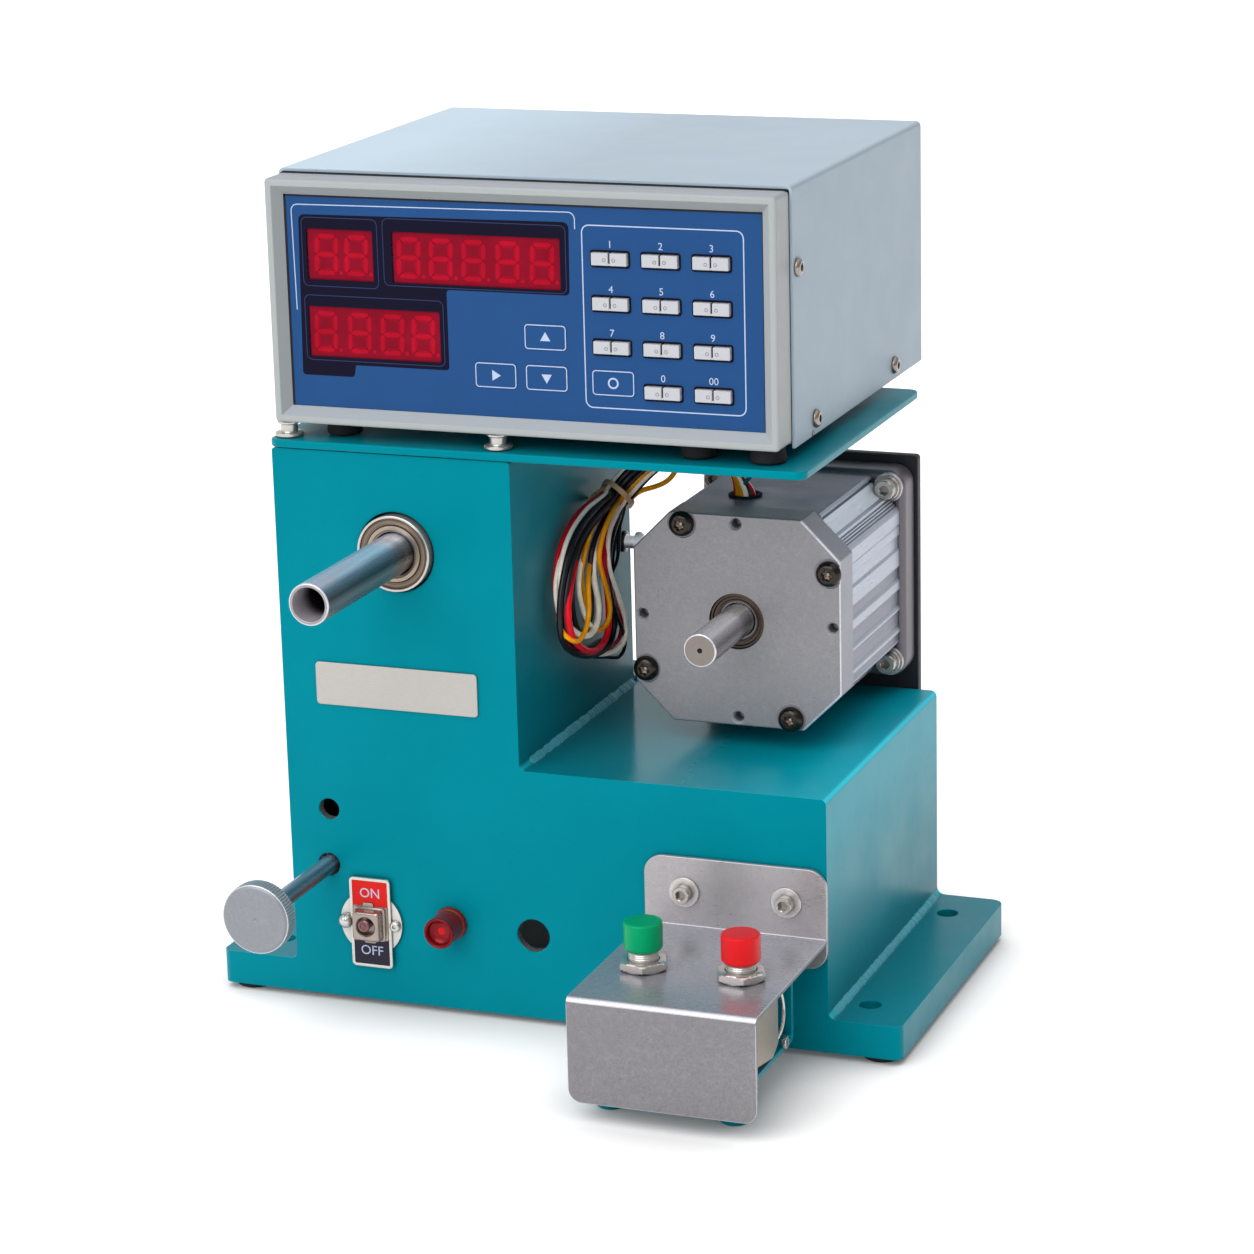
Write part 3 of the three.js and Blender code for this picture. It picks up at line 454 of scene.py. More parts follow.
# near-black put in gaps, grooves and a centre hole where there is only shade: painted shade
M_SHADE_BLACK = plastic("painted_shade_black", (16, 15, 18), 0.7, 0.1, 0.1, 900)
M_SIGN_RED = plastic("sign_red", (200, 34, 28), 0.40, 0.05, 0.08, 1800)
M_SIGN_BLACK = plastic("sign_black", (26, 24, 32), 0.40, 0.08, 0.08, 1800)
M_GREY_BOOT = metal("boot_metal", (164, 150, 142), 0.22, 0.10, None, 0.03, 200, 0.0, 5000, 0.8, metallic=0.85)
M_LEVER = metal("lever_metal", (128, 88, 88), 0.28, 0.12, None, 0.02, 300, 0.0, 5000, 0.6, metallic=0.6)
# the collar screw takes painted highlight and shade bands, lighter towards the top and darker below
M_CHROME = painted_light_bands("collar_chrome", (0, 157), 4.1, [(0.0, (120, 124, 128)), (0.18, (212, 216, 220)), (0.40, (236, 238, 240)), (0.54, (156, 156, 160)), (0.66, (70, 64, 64)), (0.82, (142, 140, 140)), (1.0, (54, 50, 50))], rough=0.2, metallic=0.25, lean=(0.0, 1.0))


def display_material(name, rgb, rough, glow):
    m = Mat(name, lin(*rgb), rough)
    col = m.vary(m.remap(m.noise(70, 3, 0.6), 0.3, 0.7, 0, 1), 0.84, 1.14)
    m.set_color(col)
    m.set_rough(m.noise(300, 3, 0.6), rough, rough + 0.08)
    m.bump(m.noise(500, 2, 0.5), 0.03, 0.0002)
    m.b.inputs["Emission Color"].default_value = lin(*rgb)
    m.b.inputs["Emission Strength"].default_value = glow
    tinted(m, 0.3)
    return m.m


# the red filter and the halo round the digits glow a little though they are no lamp: painted glow
M_WINDOW = display_material("display_filter", (116, 14, 32), 0.34, 0.04)
M_GLOW = display_material("display_glow", (132, 14, 33), 0.36, 0.06)
M_SEGMENT = display_material("display_segment", (150, 14, 34), 0.36, 0.12)


def lens_material(name, rgb, glow=0.0):
    m = Mat(name, lin(*rgb), 0.22)
    m.set_color(m.vary(m.noise(200, 3, 0.6), 0.75, 1.2))
    m.set_rough(m.noise(400, 3, 0.6), 0.16, 0.30)
    m.bump(m.noise(600, 2, 0.5), 0.05, 0.0002)
    m.b.inputs["Emission Color"].default_value = lin(*rgb)
    m.b.inputs["Emission Strength"].default_value = glow
    tinted(m, 0.8, 0.15)
    return m.m


M_LENS = lens_material("lamp_lens", (112, 12, 20))
M_LENS_RIM = lens_material("lamp_rim", (96, 11, 17))
M_LENS_GLOW = lens_material("lamp_centre", (176, 12, 18), 0.14)
M_LAMP_RING = metal("lamp_ring", (140, 66, 40), 0.3, 0.1, None, 0.1, 200, 0.0, metallic=0.6)


def wire_material(name, rgb):
    m = Mat(name, lin(*rgb), 0.34)
    m.set_color(m.vary(m.remap(m.noise(260, 3, 0.6), 0.3, 0.7, 0, 1), 0.86, 1.08))
    m.set_rough(m.noise(500, 3, 0.6), 0.28, 0.42)
    m.bump(m.noise(900, 2, 0.6), 0.10, 0.0002)
    tinted(m, 0.42, 0.2)
    # the light wires glow a little: painted light lifting them out of the shade
    m.b.inputs["Emission Color"].default_value = lin(*rgb)
    m.b.inputs["Emission Strength"].default_value = 0.07 if min(rgb) > 150 else 0.0
    return m.m


WIRE = {"red": wire_material("wire_red", (222, 20, 38)), "white": wire_material("wire_white", (248, 236, 222)),
        "black": wire_material("wire_black", (20, 19, 22)), "yellow": wire_material("wire_yellow", (244, 160, 12)),
        "blue": wire_material("wire_blue", (20, 84, 104)), "beige": wire_material("wire_beige", (190, 164, 146)),
        "dark_red": wire_material("wire_dark_red", (150, 16, 30))}


# ================================================================ shapes
def round_poly(pts, r, n=3, closed=True):
    """A polyline with its corners turned into arcs of radius r, one number or one for each corner."""
    out, m = [], len(pts)
    rs = list(r) if isinstance(r, (list, tuple)) else [r] * m
    for i, p in enumerate(pts):
        if (not closed and i in (0, m - 1)) or rs[i] <= 0:
            out.append(tuple(p))
            continue
        a, b, c = Vector(pts[i - 1]), Vector(p), Vector(pts[(i + 1) % m])
        u, v = a - b, c - b
        lu, lv = u.length, v.length
        if lu < 1e-9 or lv < 1e-9:
            out.append(tuple(p))
            continue
        u /= lu
        v /= lv
        ang = math.acos(max(-1.0, min(1.0, u.dot(v))))
        if ang > math.pi - 0.02 or ang < 0.02:
            out.append(tuple(p))
            continue
        t = min(rs[i] / math.tan(ang / 2), 0.47 * lu, 0.47 * lv)
        rr = t * math.tan(ang / 2)
        ctr = b + (u + v).normalized() * (rr / math.sin(ang / 2))
        s, e = b + u * t - ctr, b + v * t - ctr
        a0, a1 = math.atan2(s.y, s.x), math.atan2(e.y, e.x)
        d = (a1 - a0 + math.pi) % TAU - math.pi
        for k in range(n + 1):
            th = a0 + d * k / n
            out.append((ctr.x + rr * math.cos(th), ctr.y + rr * math.sin(th)))
    return out


def rect(a0, a1, b0, b1):
    return [(a0, b0), (a1, b0), (a1, b1), (a0, b1)]


def circle(ca, cb, r, n=32, a0=0.0):
    return [(ca + r * math.cos(a0 + TAU * i / n), cb + r * math.sin(a0 + TAU * i / n)) for i in range(n)]


def at(axis, a, b, t):
    return {"x": (t, a, b), "y": (a, t, b), "z": (a, b, t)}[axis]


def fix(bm):
    bmesh.ops.remove_doubles(bm, verts=bm.verts, dist=1e-4)
    bmesh.ops.recalc_face_normals(bm, faces=bm.faces)
    return bm


def prism(pts, axis, t0, t1, bm=None):
    """An outline pushed along an axis: (x, z) along y, (y, z) along x, (x, y) along z."""
    own = bm is None
    bm = bm or bmesh.new()
    lo = [bm.verts.new(at(axis, a, b, t0)) for a, b in pts]
    hi = [bm.verts.new(at(axis, a, b, t1)) for a, b in pts]
    bm.faces.new(lo)
    bm.faces.new(hi[::-1])
    for i in range(len(pts)):
        j = (i + 1) % len(pts)
        bm.faces.new((lo[i], lo[j], hi[j], hi[i]))
    if own:
        fix(bm)
    return bm


def box(x0, x1, y0, y1, z0, z1, bm=None):
    return prism(rect(x0, x1, y0, y1), "z", z0, z1, bm)


def lathe(prof, axis="y", c=(0, 0), n=64, closed=False, bm=None, wob=None):
    """A turned piece. The profile is (radius, place along the axis); c is the axis's place across it."""
    own = bm is None
    bm = bm or bmesh.new()
    rings = []
    for k, (r, t) in enumerate(prof):
        if r < 1e-6:
            rings.append([bm.verts.new(at(axis, c[0], c[1], t))])
        else:
            ring = []
            for i in range(n):
                a = TAU * i / n
                q = r if wob is None else wob(r, a, t)
                ring.append(bm.verts.new(at(axis, c[0] + q * math.cos(a), c[1] + q * math.sin(a), t)))
            rings.append(ring)
    pairs = list(zip(rings, rings[1:])) + ([(rings[-1], rings[0])] if closed else [])
    for A, B in pairs:
        for i in range(n):
            j = (i + 1) % n
            f = [A[i % len(A)], A[j % len(A)], B[j % len(B)], B[i % len(B)]]
            u = []
            for v in f:
                if v not in u:
                    u.append(v)
            if len(u) > 2:
                bm.faces.new(u)
    if not closed:
        for R in (rings[0], rings[-1]):
            if len(R) > 1:
                bm.faces.new(R)
    if own:
        fix(bm)
    return bm


def loft(loops, bm=None, caps=(True, True)):
    own = bm is None
    bm = bm or bmesh.new()
    rings = [[bm.verts.new(p) for p in L] for L in loops]
    for A, B in zip(rings, rings[1:]):
        for i in range(len(A)):
            j = (i + 1) % len(A)
            bm.faces.new((A[i], A[j], B[j], B[i]))
    if caps[0]:
        bm.faces.new(rings[0])
    if caps[1]:
        bm.faces.new(rings[-1])
    if own:
        fix(bm)
    return bm


def add(bm, other, matrix=None):
    me = bpy.data.meshes.new("tmp")
    other.to_mesh(me)
    if matrix is not None:
        me.transform(matrix)
    bm.from_mesh(me)
    bpy.data.meshes.remove(me)
    return bm


def boolean(a, b, op="DIFFERENCE"):
    """a and b are bmeshes; gives a new one. b may hold several solids that don't touch each other."""
    obs = []
    for s in (a, b):
        me = bpy.data.meshes.new("tmp")
        s.normal_update()
        s.to_mesh(me)
        o = bpy.data.objects.new("tmp", me)
        bpy.context.scene.collection.objects.link(o)
        obs.append(o)
    mod = obs[0].modifiers.new("b", "BOOLEAN")
    mod.operation = op
    mod.object = obs[1]
    mod.solver = "EXACT"
    deps = bpy.context.evaluated_depsgraph_get()
    me = bpy.data.meshes.new_from_object(obs[0].evaluated_get(deps))
    out = bmesh.new()
    out.from_mesh(me)
    bpy.data.meshes.remove(me)
    for o in obs:
        m = o.data
        bpy.data.objects.remove(o)
        bpy.data.meshes.remove(m)
    bmesh.ops.remove_doubles(out, verts=out.verts, dist=1e-4)
    bmesh.ops.dissolve_degenerate(out, dist=1e-4, edges=out.edges)
    bmesh.ops.dissolve_limit(out, angle_limit=math.radians(0.4), verts=out.verts, edges=out.edges, delimit={"NORMAL"})
    a.free()
    b.free()
    return out


def bevel(bm, width, segs=2, angle=40, where=None, profile=0.5):
    """Rounds every edge sharper than angle, or those of them that where(edge) picks."""
    bm.normal_update()
    es = [e for e in bm.edges if len(e.link_faces) == 2 and e.calc_face_angle(0) > math.radians(angle) and (where is None or where(e))]
    if es:
        bmesh.ops.bevel(bm, geom=es, offset=width, offset_type="OFFSET", segments=segs, profile=profile, affect="EDGES", clamp_overlap=True)
    return bm


def convex(e):
    return e.is_convex


def obj(name, bm, mat, body="frame", rep=(), wn=True, sharp=33, parent=None):
    """Makes the piece: moves it to the frame, shades it, gives it its material, and rides it on its body."""
    bmesh.ops.remove_doubles(bm, verts=bm.verts, dist=2e-4)
    bm.normal_update()
    for f in bm.faces:
        f.smooth = True
    lim = math.radians(sharp)
    for e in bm.edges:
        e.smooth = not (len(e.link_faces) == 2 and e.calc_face_angle(0) > lim)
    for v in bm.verts:
        v.co = (v.co + OFF) * MM
    me = bpy.data.meshes.new(name)
    bm.to_mesh(me)
    bm.free()
    o = bpy.data.objects.new(name, me)
    bpy.context.scene.collection.objects.link(o)
    mats = mat if isinstance(mat, (list, tuple)) else [mat]
    for m in mats:
        me.materials.append(m)
    if wn:
        w = o.modifiers.new("wn", "WEIGHTED_NORMAL")
        w.keep_sharp = True
    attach(o, body)
    if rep:
        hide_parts(*rep)
    return o


def face_mat(bm, pick, index):
    bm.normal_update()
    for f in bm.faces:
        if pick(f):
            f.material_index = index


def place(loc, direction, spin=0.0):
    """Local z to the given direction, at loc."""
    d = Vector(direction).normalized()
    q = Vector((0, 0, 1)).rotation_difference(d)
    return Matrix.Translation(Vector(loc)) @ q.to_matrix().to_4x4() @ Matrix.Rotation(spin, 4, "Z")


def ring(r, t, n=36, k=0):
    """A circle (k = 0) or a polygon of k sides across flats 2r, as n points at height t."""
    out = []
    for i in range(n):
        a = TAU * i / n
        q = r if not k else r / math.cos((a + math.pi / k) % (TAU / k) - math.pi / k)
        out.append((q * math.cos(a), q * math.sin(a), t))
    return out


def socket_screw(R, h, socket, dome=True, depth=1.6, n=36):
    """Button head with a hexagon socket, standing on local z = 0."""
    top = R * 0.52
    L = [ring(R * 0.97, 0, n), ring(R, 0.12 * h, n)]
    if dome:
        for k in range(1, 7):
            a = k / 6 * math.pi / 2
            L.append(ring(top + (R - top) * math.cos(a), 0.12 * h + (0.88 * h) * math.sin(a), n))
    else:
        L += [ring(R, 0.8 * h, n), ring(R * 0.97, 0.93 * h, n), ring(R * 0.90, h, n)]
    L += [ring(socket * 1.12, h, n), ring(socket, h - 0.15, n, 6), ring(socket, h - depth, n, 6)]
    return loft(L)


def washer(r0, r1, t, n=40):
    p = [(r0, 0), (r1 - 0.15, 0), (r1, 0.15), (r1, t - 0.25), (r1 - 0.25, t), (r0 + 0.1, t), (r0, t - 0.1)]
    return lathe(p, "z", (0, 0), n, closed=True)


def hex_nut(af, h, bore, n=48):
    """Chamfered hexagon with a hole."""
    c = af / 2
    L = [ring(bore, 0, n), ring(c * 0.98, 0, n), ring(c * 1.04, 0.25, n, 0)]
    def hexring(t, cut):
        out = []
        for i in range(n):
            a = TAU * i / n
            q = c / math.cos((a + math.pi / 6) % (TAU / 6) - math.pi / 6)
            q = min(q, cut)
            out.append((q * math.cos(a), q * math.sin(a), t))
        return out
    e = c / math.cos(math.pi / 6)
    L = [ring(bore, 0, n), hexring(0, c * 1.0), hexring(0.12 * h, c * 1.08), hexring(0.22 * h, e),
         hexring(0.78 * h, e), hexring(0.90 * h, c * 1.07), hexring(h, c * 0.985), ring(bore + 0.25, h, n), ring(bore, h - 0.25, n)]
    return loft(L + [L[0]], caps=(False, False))


def tube_path(pts, r, n=10, bm=None, wob=None, close=False):
    """A round bar along points."""
    own = bm is None
    bm = bm or bmesh.new()
    P = [Vector(p) for p in pts]
    rings = []
    nrm = None
    for i, p in enumerate(P):
        t = (P[min(i + 1, len(P) - 1)] - P[max(i - 1, 0)]).normalized()
        if nrm is None:
            nrm = t.orthogonal().normalized()
        nrm = (nrm - t * nrm.dot(t)).normalized()
        b = t.cross(nrm)
        rings.append([bm.verts.new(p + (nrm * math.cos(TAU * k / n) + b * math.sin(TAU * k / n)) * (r if wob is None else wob(i, k))) for k in range(n)])
    for A, B in zip(rings, rings[1:]):
        for k in range(n):
            bm.faces.new((A[k], A[(k + 1) % n], B[(k + 1) % n], B[k]))
    bm.faces.new(rings[0])
    bm.faces.new(rings[-1])
    if own:
        fix(bm)
    return bm


def text_mesh(body, size, depth, matrix):
    """Flat letters as a bmesh, in millimetres, placed by a matrix."""
    cu = bpy.data.curves.new("tmp", "FONT")
    cu.body = body
    cu.size = size
    cu.extrude = depth / 2
    cu.align_x = "CENTER"
    cu.align_y = "CENTER"
    cu.resolution_u = 3
    o = bpy.data.objects.new("tmp", cu)
    bpy.context.scene.collection.objects.link(o)
    deps = bpy.context.evaluated_depsgraph_get()
    me = bpy.data.meshes.new_from_object(o.evaluated_get(deps))
    me.transform(matrix)
    bm = bmesh.new()
    bm.from_mesh(me)
    bpy.data.meshes.remove(me)
    bpy.data.objects.remove(o)
    bpy.data.curves.remove(cu)
    return bm


FRONT = Matrix(((1, 0, 0, 0), (0, 0, -1, 0), (0, 1, 0, 0), (0, 0, 0, 1)))  # local xy to xz, facing -y


def front_at(x, y, z, spin=0.0):
    return Matrix.Translation((x, y, z)) @ FRONT @ Matrix.Rotation(spin, 4, "Z")


# ================================================================ wires
def catmull(pts, per=8):
    P = [Vector(p) for p in pts]
    P = [P[0] * 2 - P[1]] + P + [P[-1] * 2 - P[-2]]
    out = []
    for i in range(1, len(P) - 2):
        a, b, c, d = P[i - 1], P[i], P[i + 1], P[i + 2]
        t1 = max(1e-3, (b - a).length ** 0.5)
        t2 = t1 + max(1e-3, (c - b).length ** 0.5)
        t3 = t2 + max(1e-3, (d - c).length ** 0.5)
        for k in range(per):
            t = t1 + (t2 - t1) * k / per
            A1 = a * ((t1 - t) / t1) + b * (t / t1)
            A2 = b * ((t2 - t) / (t2 - t1)) + c * ((t - t1) / (t2 - t1))
            A3 = c * ((t3 - t) / (t3 - t2)) + d * ((t - t2) / (t3 - t2))
            B1 = A1 * ((t2 - t) / t2) + A2 * (t / t2)
            B2 = A2 * ((t3 - t) / (t3 - t1)) + A3 * ((t - t1) / (t3 - t1))
            out.append(B1 * ((t2 - t) / (t2 - t1)) + B2 * ((t - t1) / (t2 - t1)))
    out.append(P[-2])
    return out


def even(pts, step):
    """The same line with its points at equal distances."""
    d = [0.0]
    for a, b in zip(pts, pts[1:]):
        d.append(d[-1] + (b - a).length)
    m = max(2, int(d[-1] / step))
    out, j = [], 0
    for i in range(m + 1):
        q = d[-1] * i / m
        while j < len(pts) - 2 and d[j + 1] < q:
            j += 1
        f = (q - d[j]) / max(1e-9, d[j + 1] - d[j])
        out.append(pts[j].lerp(pts[j + 1], min(1.0, f)))
    return out


def relax(pts, times):
    for _ in range(times):
        pts = [pts[0]] + [pts[i] * 0.5 + (pts[i - 1] + pts[i + 1]) * 0.25 for i in range(1, len(pts) - 1)] + [pts[-1]]
    return pts


def curve_wire(name, pts, dia, mat):
    cu = bpy.data.curves.new(name, "CURVE")
    cu.dimensions = "3D"
    sp = cu.splines.new("POLY")
    sp.points.add(len(pts) - 1)
    for q, p in zip(sp.points, pts):
        w = W(*p)
        q.co = (w.x, w.y, w.z, 1)
    sp.use_smooth = True
    cu.bevel_depth = dia / 2 * MM
    cu.bevel_resolution = 3
    cu.use_fill_caps = True
    cu.materials.append(mat)
    o = bpy.data.objects.new(name, cu)
    bpy.context.scene.collection.objects.link(o)
    return o


TIE = Vector((-1.0, 82.3, 181.7))
TIE_DIR = Vector((0.66, 0.05, 0.75)).normalized()
tie_f = (back - TIE_DIR * back.dot(TIE_DIR)).normalized()
tie_s = TIE_DIR.cross(tie_f)
if tie_s.dot(r2) < 0:
    tie_s = -tie_s

# for each wire: colour, thickness, its place in the bundle going down and coming back up, where it ends, and its loop below the tie
LOOPS = {
    "red_1": ("red", 1.7, (-4.0, -2.2), (0.2, -3.2), "m", [(-5, 64.7, 182.6), (-6, 58.4, 181.3), (-6.5, 48.8, 178.6), (-6.5, 40.6, 174.6), (-6.5, 35.3, 170), (-6.5, 32.5, 164.7), (-6, 30.1, 160.4), (-6, 31.1, 153.6), (-5, 31, 146.7), (-4, 33.5, 139.5), (-3, 40.4, 133.7), (-2.5, 53.5, 128.4), (-2, 68.4, 125.5), (-1.5, 79.7, 125.9), (-1.5, 86.3, 128.3), (-1.5, 84.6, 132.4), (-1.5, 80.5, 138.2), (-1.5, 76.7, 143.3), (-1.5, 72.9, 148.4), (-1.5, 70.3, 154.3), (-1.5, 69.7, 161.1), (-1.5, 71.8, 166.7), (-1.5, 77.1, 171.5), (-1.5, 83.8, 174.9)]),
    "white_1": ("white", 1.7, (-3.0, -0.6), (3.6, 2.6), "m", [(-4.5, 65.3, 181.8), (-5.5, 59.6, 179.5), (-6, 50.7, 176.7), (-6, 43.1, 173), (-5.5, 36.1, 169.3), (-5, 31.2, 165.7), (-4.5, 27.5, 161.2), (-4.5, 27.4, 156.7), (-4.5, 28.8, 151.8), (-4.5, 31.7, 145), (-4, 36.6, 137.7), (-3.5, 46.8, 131.1), (-2, 58.9, 126.5), (0, 67.3, 124.8), (1.5, 74, 125.1), (2, 78.7, 127.2), (2, 79.9, 130.6), (2.2, 78.7, 134.5), (2.4, 76, 139.2), (2.6, 71.7, 145), (2.6, 67.3, 151.3), (2.6, 63.6, 157.3), (2.6, 61.7, 163.4), (2.4, 62.9, 169.2), (2, 67, 173.2), (1.6, 73.7, 176.3)]),
    "white_2": ("white", 2.2, (-4.2, 1.8), (0.4, 0.6), "m", [(0, 67.5, 184.7), (-1, 63.3, 184), (-2, 55, 182.8), (-3, 48, 180), (-3.5, 41.7, 177), (-3.5, 35.5, 173.1), (-3.5, 31.9, 168.6), (-3.5, 29.8, 163.6), (-3.5, 28.9, 158.4), (-3.5, 29.7, 152.2), (-3, 32.2, 146), (-2, 37.8, 141.3), (-0.5, 41.1, 138.6), (0.4, 45.4, 137.5), (0.6, 51.7, 138.3), (0.6, 55.3, 141.5), (0.6, 56.1, 146.4), (0.6, 54.1, 152), (0.6, 52, 157.6), (0.6, 51.9, 162.7), (0.4, 53.8, 167.3), (0, 59, 170.2), (-0.5, 65.3, 173.4), (-1, 73.6, 176.4)]),
    "black_1": ("black", 2.3, (-2.9, 3.5), (2.6, 0.2), "m", [(1, 69, 184.5), (0.5, 63.4, 183.5), (0, 52.5, 182.1), (-0.5, 44.2, 179.6), (-1, 38, 176.2), (-1, 32.4, 172.1), (-1, 28.8, 167.6), (-1, 25.1, 162.1), (-1, 22.7, 156.2), (-1, 21.5, 149.6), (-1, 22.4, 143.9), (-1, 26.5, 138.7), (-1, 34.7, 133.9), (-1, 45.7, 129.7), (-1, 57.7, 127.2), (-1, 68, 126.9), (-1, 74.7, 128.9), (-0.5, 74.8, 133.6), (-0.5, 72.8, 139.8), (-0.5, 70.7, 146), (-0.5, 69.2, 152.1), (-0.5, 69.4, 158.2), (-0.5, 71.5, 164.3), (-0.5, 76, 169.8), (-0.5, 81.8, 173.9)]),
    "black_2": ("black", 2.3, (-1.2, 4.4), (2.4, -3.4), "m", [(1.5, 71.7, 183.1), (1.2, 66.9, 181.7), (0.8, 55.6, 179.9), (0.4, 47.1, 177.5), (0.2, 40, 174.2), (0.2, 34.5, 170.2), (0.2, 30.2, 165.8), (0.2, 26.5, 160.3), (0.2, 24.1, 154.5), (0.2, 24, 148), (0.2, 26.4, 142.3), (-1.5, 38.1, 135.4), (-2.5, 52.4, 131.1), (-2.5, 65.9, 129.7), (-2, 75.6, 129), (-2, 81.3, 130.6), (-2, 80.3, 136.1), (-2, 77.3, 143.1), (-2, 75.7, 150.2), (-2, 76.2, 156.3), (-2, 78.7, 162.3), (-2, 82.5, 167.5), (-2, 87.7, 171.4)]),
    "black_3": ("black", 2.1, (0.2, 3.0), (0.9, 4.4), "m", [(1.5, 74.4, 181.5), (0.5, 65.9, 179.9), (-0.5, 56.1, 177.2), (-1, 47.7, 173.2), (-1.2, 41.9, 169.2), (-1.5, 39.3, 165.3), (-2, 38.1, 160.1), (-2.5, 38.1, 154.5), (-3, 39.7, 148.5), (-3, 42.2, 142.3), (-3, 47.4, 137.8), (-3, 54.1, 137), (-2.5, 56.1, 141.1), (-2, 55.6, 147.9), (-1, 52.8, 156.3), (0, 49.9, 162.7), (0.4, 51, 167.5), (0.6, 54.2, 171.7), (0.8, 60.7, 175.7), (1, 68.6, 178.5)]),
    "red_2": ("red", 2.5, (-2.2, 1.4), (1.8, 2.1), "m", [(-1, 76.6, 179.3), (-2, 65.3, 176.9), (-2.5, 55.6, 174.2), (-2.5, 48.7, 171.4), (-2, 42.7, 168.4), (-1, 36.7, 164.5), (0.5, 28.9, 160.2), (1.4, 24.5, 154.9), (1.8, 23.2, 149.3), (2, 25.2, 143.8), (2, 30.8, 138.5), (2, 41, 133.1), (2, 50.3, 131.2), (2, 57.2, 132.2), (2, 61.2, 134.9), (2, 62.4, 139.7), (1.8, 62.8, 145.7), (1.8, 61.2, 152.3), (1.6, 59.8, 158.2), (1.4, 60.4, 163.6), (1.2, 62.6, 167.1), (1, 66.1, 170.3), (1, 70.3, 173.8), (1, 76, 176.5)]),
    "yellow_1": ("yellow", 1.9, (-0.6, 1.4), (2.0, 4.1), "m", [(0, 74.2, 181.9), (-0.5, 68.5, 180.5), (-1, 63.5, 178.4), (-1, 57.3, 176.4), (-1, 52.3, 173.1), (-1.4, 49.1, 168.3), (-1.8, 47.1, 163.8), (-3, 48.8, 159.2), (-3.4, 50.5, 154.2), (-3.4, 52.2, 148.7), (-3.6, 51.8, 143.0), (-2.2, 54, 137.6), (0.2, 58, 135.4), (2.2, 61.8, 138.6), (2.6, 62.2, 144.8), (2.6, 60.2, 150), (2.6, 57.6, 154.8), (2.4, 55.2, 159.6), (2.4, 53.1, 165.6), (2.8, 54.3, 170.3), (3, 57.6, 174.5), (3.2, 62.8, 178.1), (3.2, 69.9, 180.7)]),
    "yellow_2": ("yellow", 1.9, (-4.5, -0.5), (4.5, -1.2), "s", [(-3, 73.8, 182.4), (-4, 69.4, 181.3), (-5, 59.7, 179.1), (-5, 50.1, 176.4), (-4.5, 40.6, 172.3), (-4.5, 36.3, 166.9), (-4.5, 33.2, 161.2), (-4, 29.9, 154.6), (-3, 25.5, 148.3), (-1, 19.8, 145.1), (1.6, 14.4, 142.8), (2.8, 17.1, 140.5), (3.2, 22.6, 139.8), (3.4, 30, 140.6), (3.4, 35.4, 142.6), (3.2, 38.9, 146.2), (3, 40.5, 149.8), (2.4, 41.8, 154.4), (1.4, 44.4, 158.7), (0.2, 48.6, 162.5), (-1, 53.8, 166.2), (-1, 57.5, 170.3), (-1, 64.2, 174.2), (-1, 72.3, 176.7)]),
    "white_3": ("white", 1.9, (-2.6, -3.4), (1.4, -1.4), "m", [(-2, 77.9, 179.9), (-3, 66.5, 176.5), (-3, 58.1, 173), (-2.6, 51.2, 168.7), (-2.4, 47, 164.3), (-2, 44, 160), (-1.8, 43, 156.3), (-1.6, 43.8, 151.1), (-1.4, 46.4, 145.8), (-1.6, 51, 140.7), (-1.2, 55.6, 137.1), (-1, 61, 135.2), (-1, 66, 137), (-1, 67, 141.8), (-1, 65.8, 147.8), (-1, 64.9, 154.2), (-1, 66.2, 161), (-1, 69.5, 167.3), (-1, 74.7, 172.1), (-1, 81.8, 174.9)]),
    "black_4": ("black", 1.4, (-1.0, -1.4), (4.6, 0.6), "m", [(-5, 76.1, 180.7), (-6.5, 67.5, 178.6), (-7, 56.5, 175.7), (-7.2, 48.1, 172.2), (-7.2, 41.2, 167.9), (-7.2, 37, 163), (-7, 34.2, 156.7), (-7, 34.4, 149.6), (-6.5, 35.7, 142.3), (-6, 40.9, 135.3), (-5, 50.5, 129.1), (-3.5, 59.9, 125.2), (-2, 68.2, 122.9), (-0.5, 75.3, 120.8), (0.6, 81.1, 120.2), (1, 82.1, 123.6), (1.2, 79.2, 129.4), (1.2, 74.9, 134.7), (1, 70.8, 141.5), (0.6, 69.3, 146.5), (0.2, 69, 151.1), (0, 72.2, 154.4), (-0.2, 77.1, 156.7), (-0.4, 80, 160), (-0.6, 81.4, 164.3), (-0.8, 83.2, 169.5), (-0.6, 86.5, 173.3)]),
}


def soften(pts, dia):
    """Ease every bend that is tighter than the wire can take. The ends stay."""
    p = [Vector(q) for q in pts]
    need = 2.6 * dia
    for _ in range(500):
        bad = []
        for i in range(2, len(p) - 2):
            u, v = p[i] - p[i - 2], p[i + 2] - p[i]
            area = u.cross(v).length
            if area < 1e-6:
                if u.dot(v) <= 0:
                    bad.append(i)
            elif u.length * v.length * (u + v).length / (2 * area) < need:
                bad.append(i)
        if not bad:
            break
        hit = sorted({j for i in bad for j in range(i - 3, i + 4) if 1 < j < len(p) - 2})
        new = [(j, p[j] * 0.5 + (p[j - 1] + p[j + 1]) * 0.25) for j in hit]
        for j, q in new:
            p[j] = q
    return even(p, 1.0)


def declare(name, pts, dia, mat):
    pts = soften(pts, dia)
    o = curve_wire(name, pts, dia, mat)
    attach(o, "frame")
    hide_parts("wire_hank", "motor_lead")


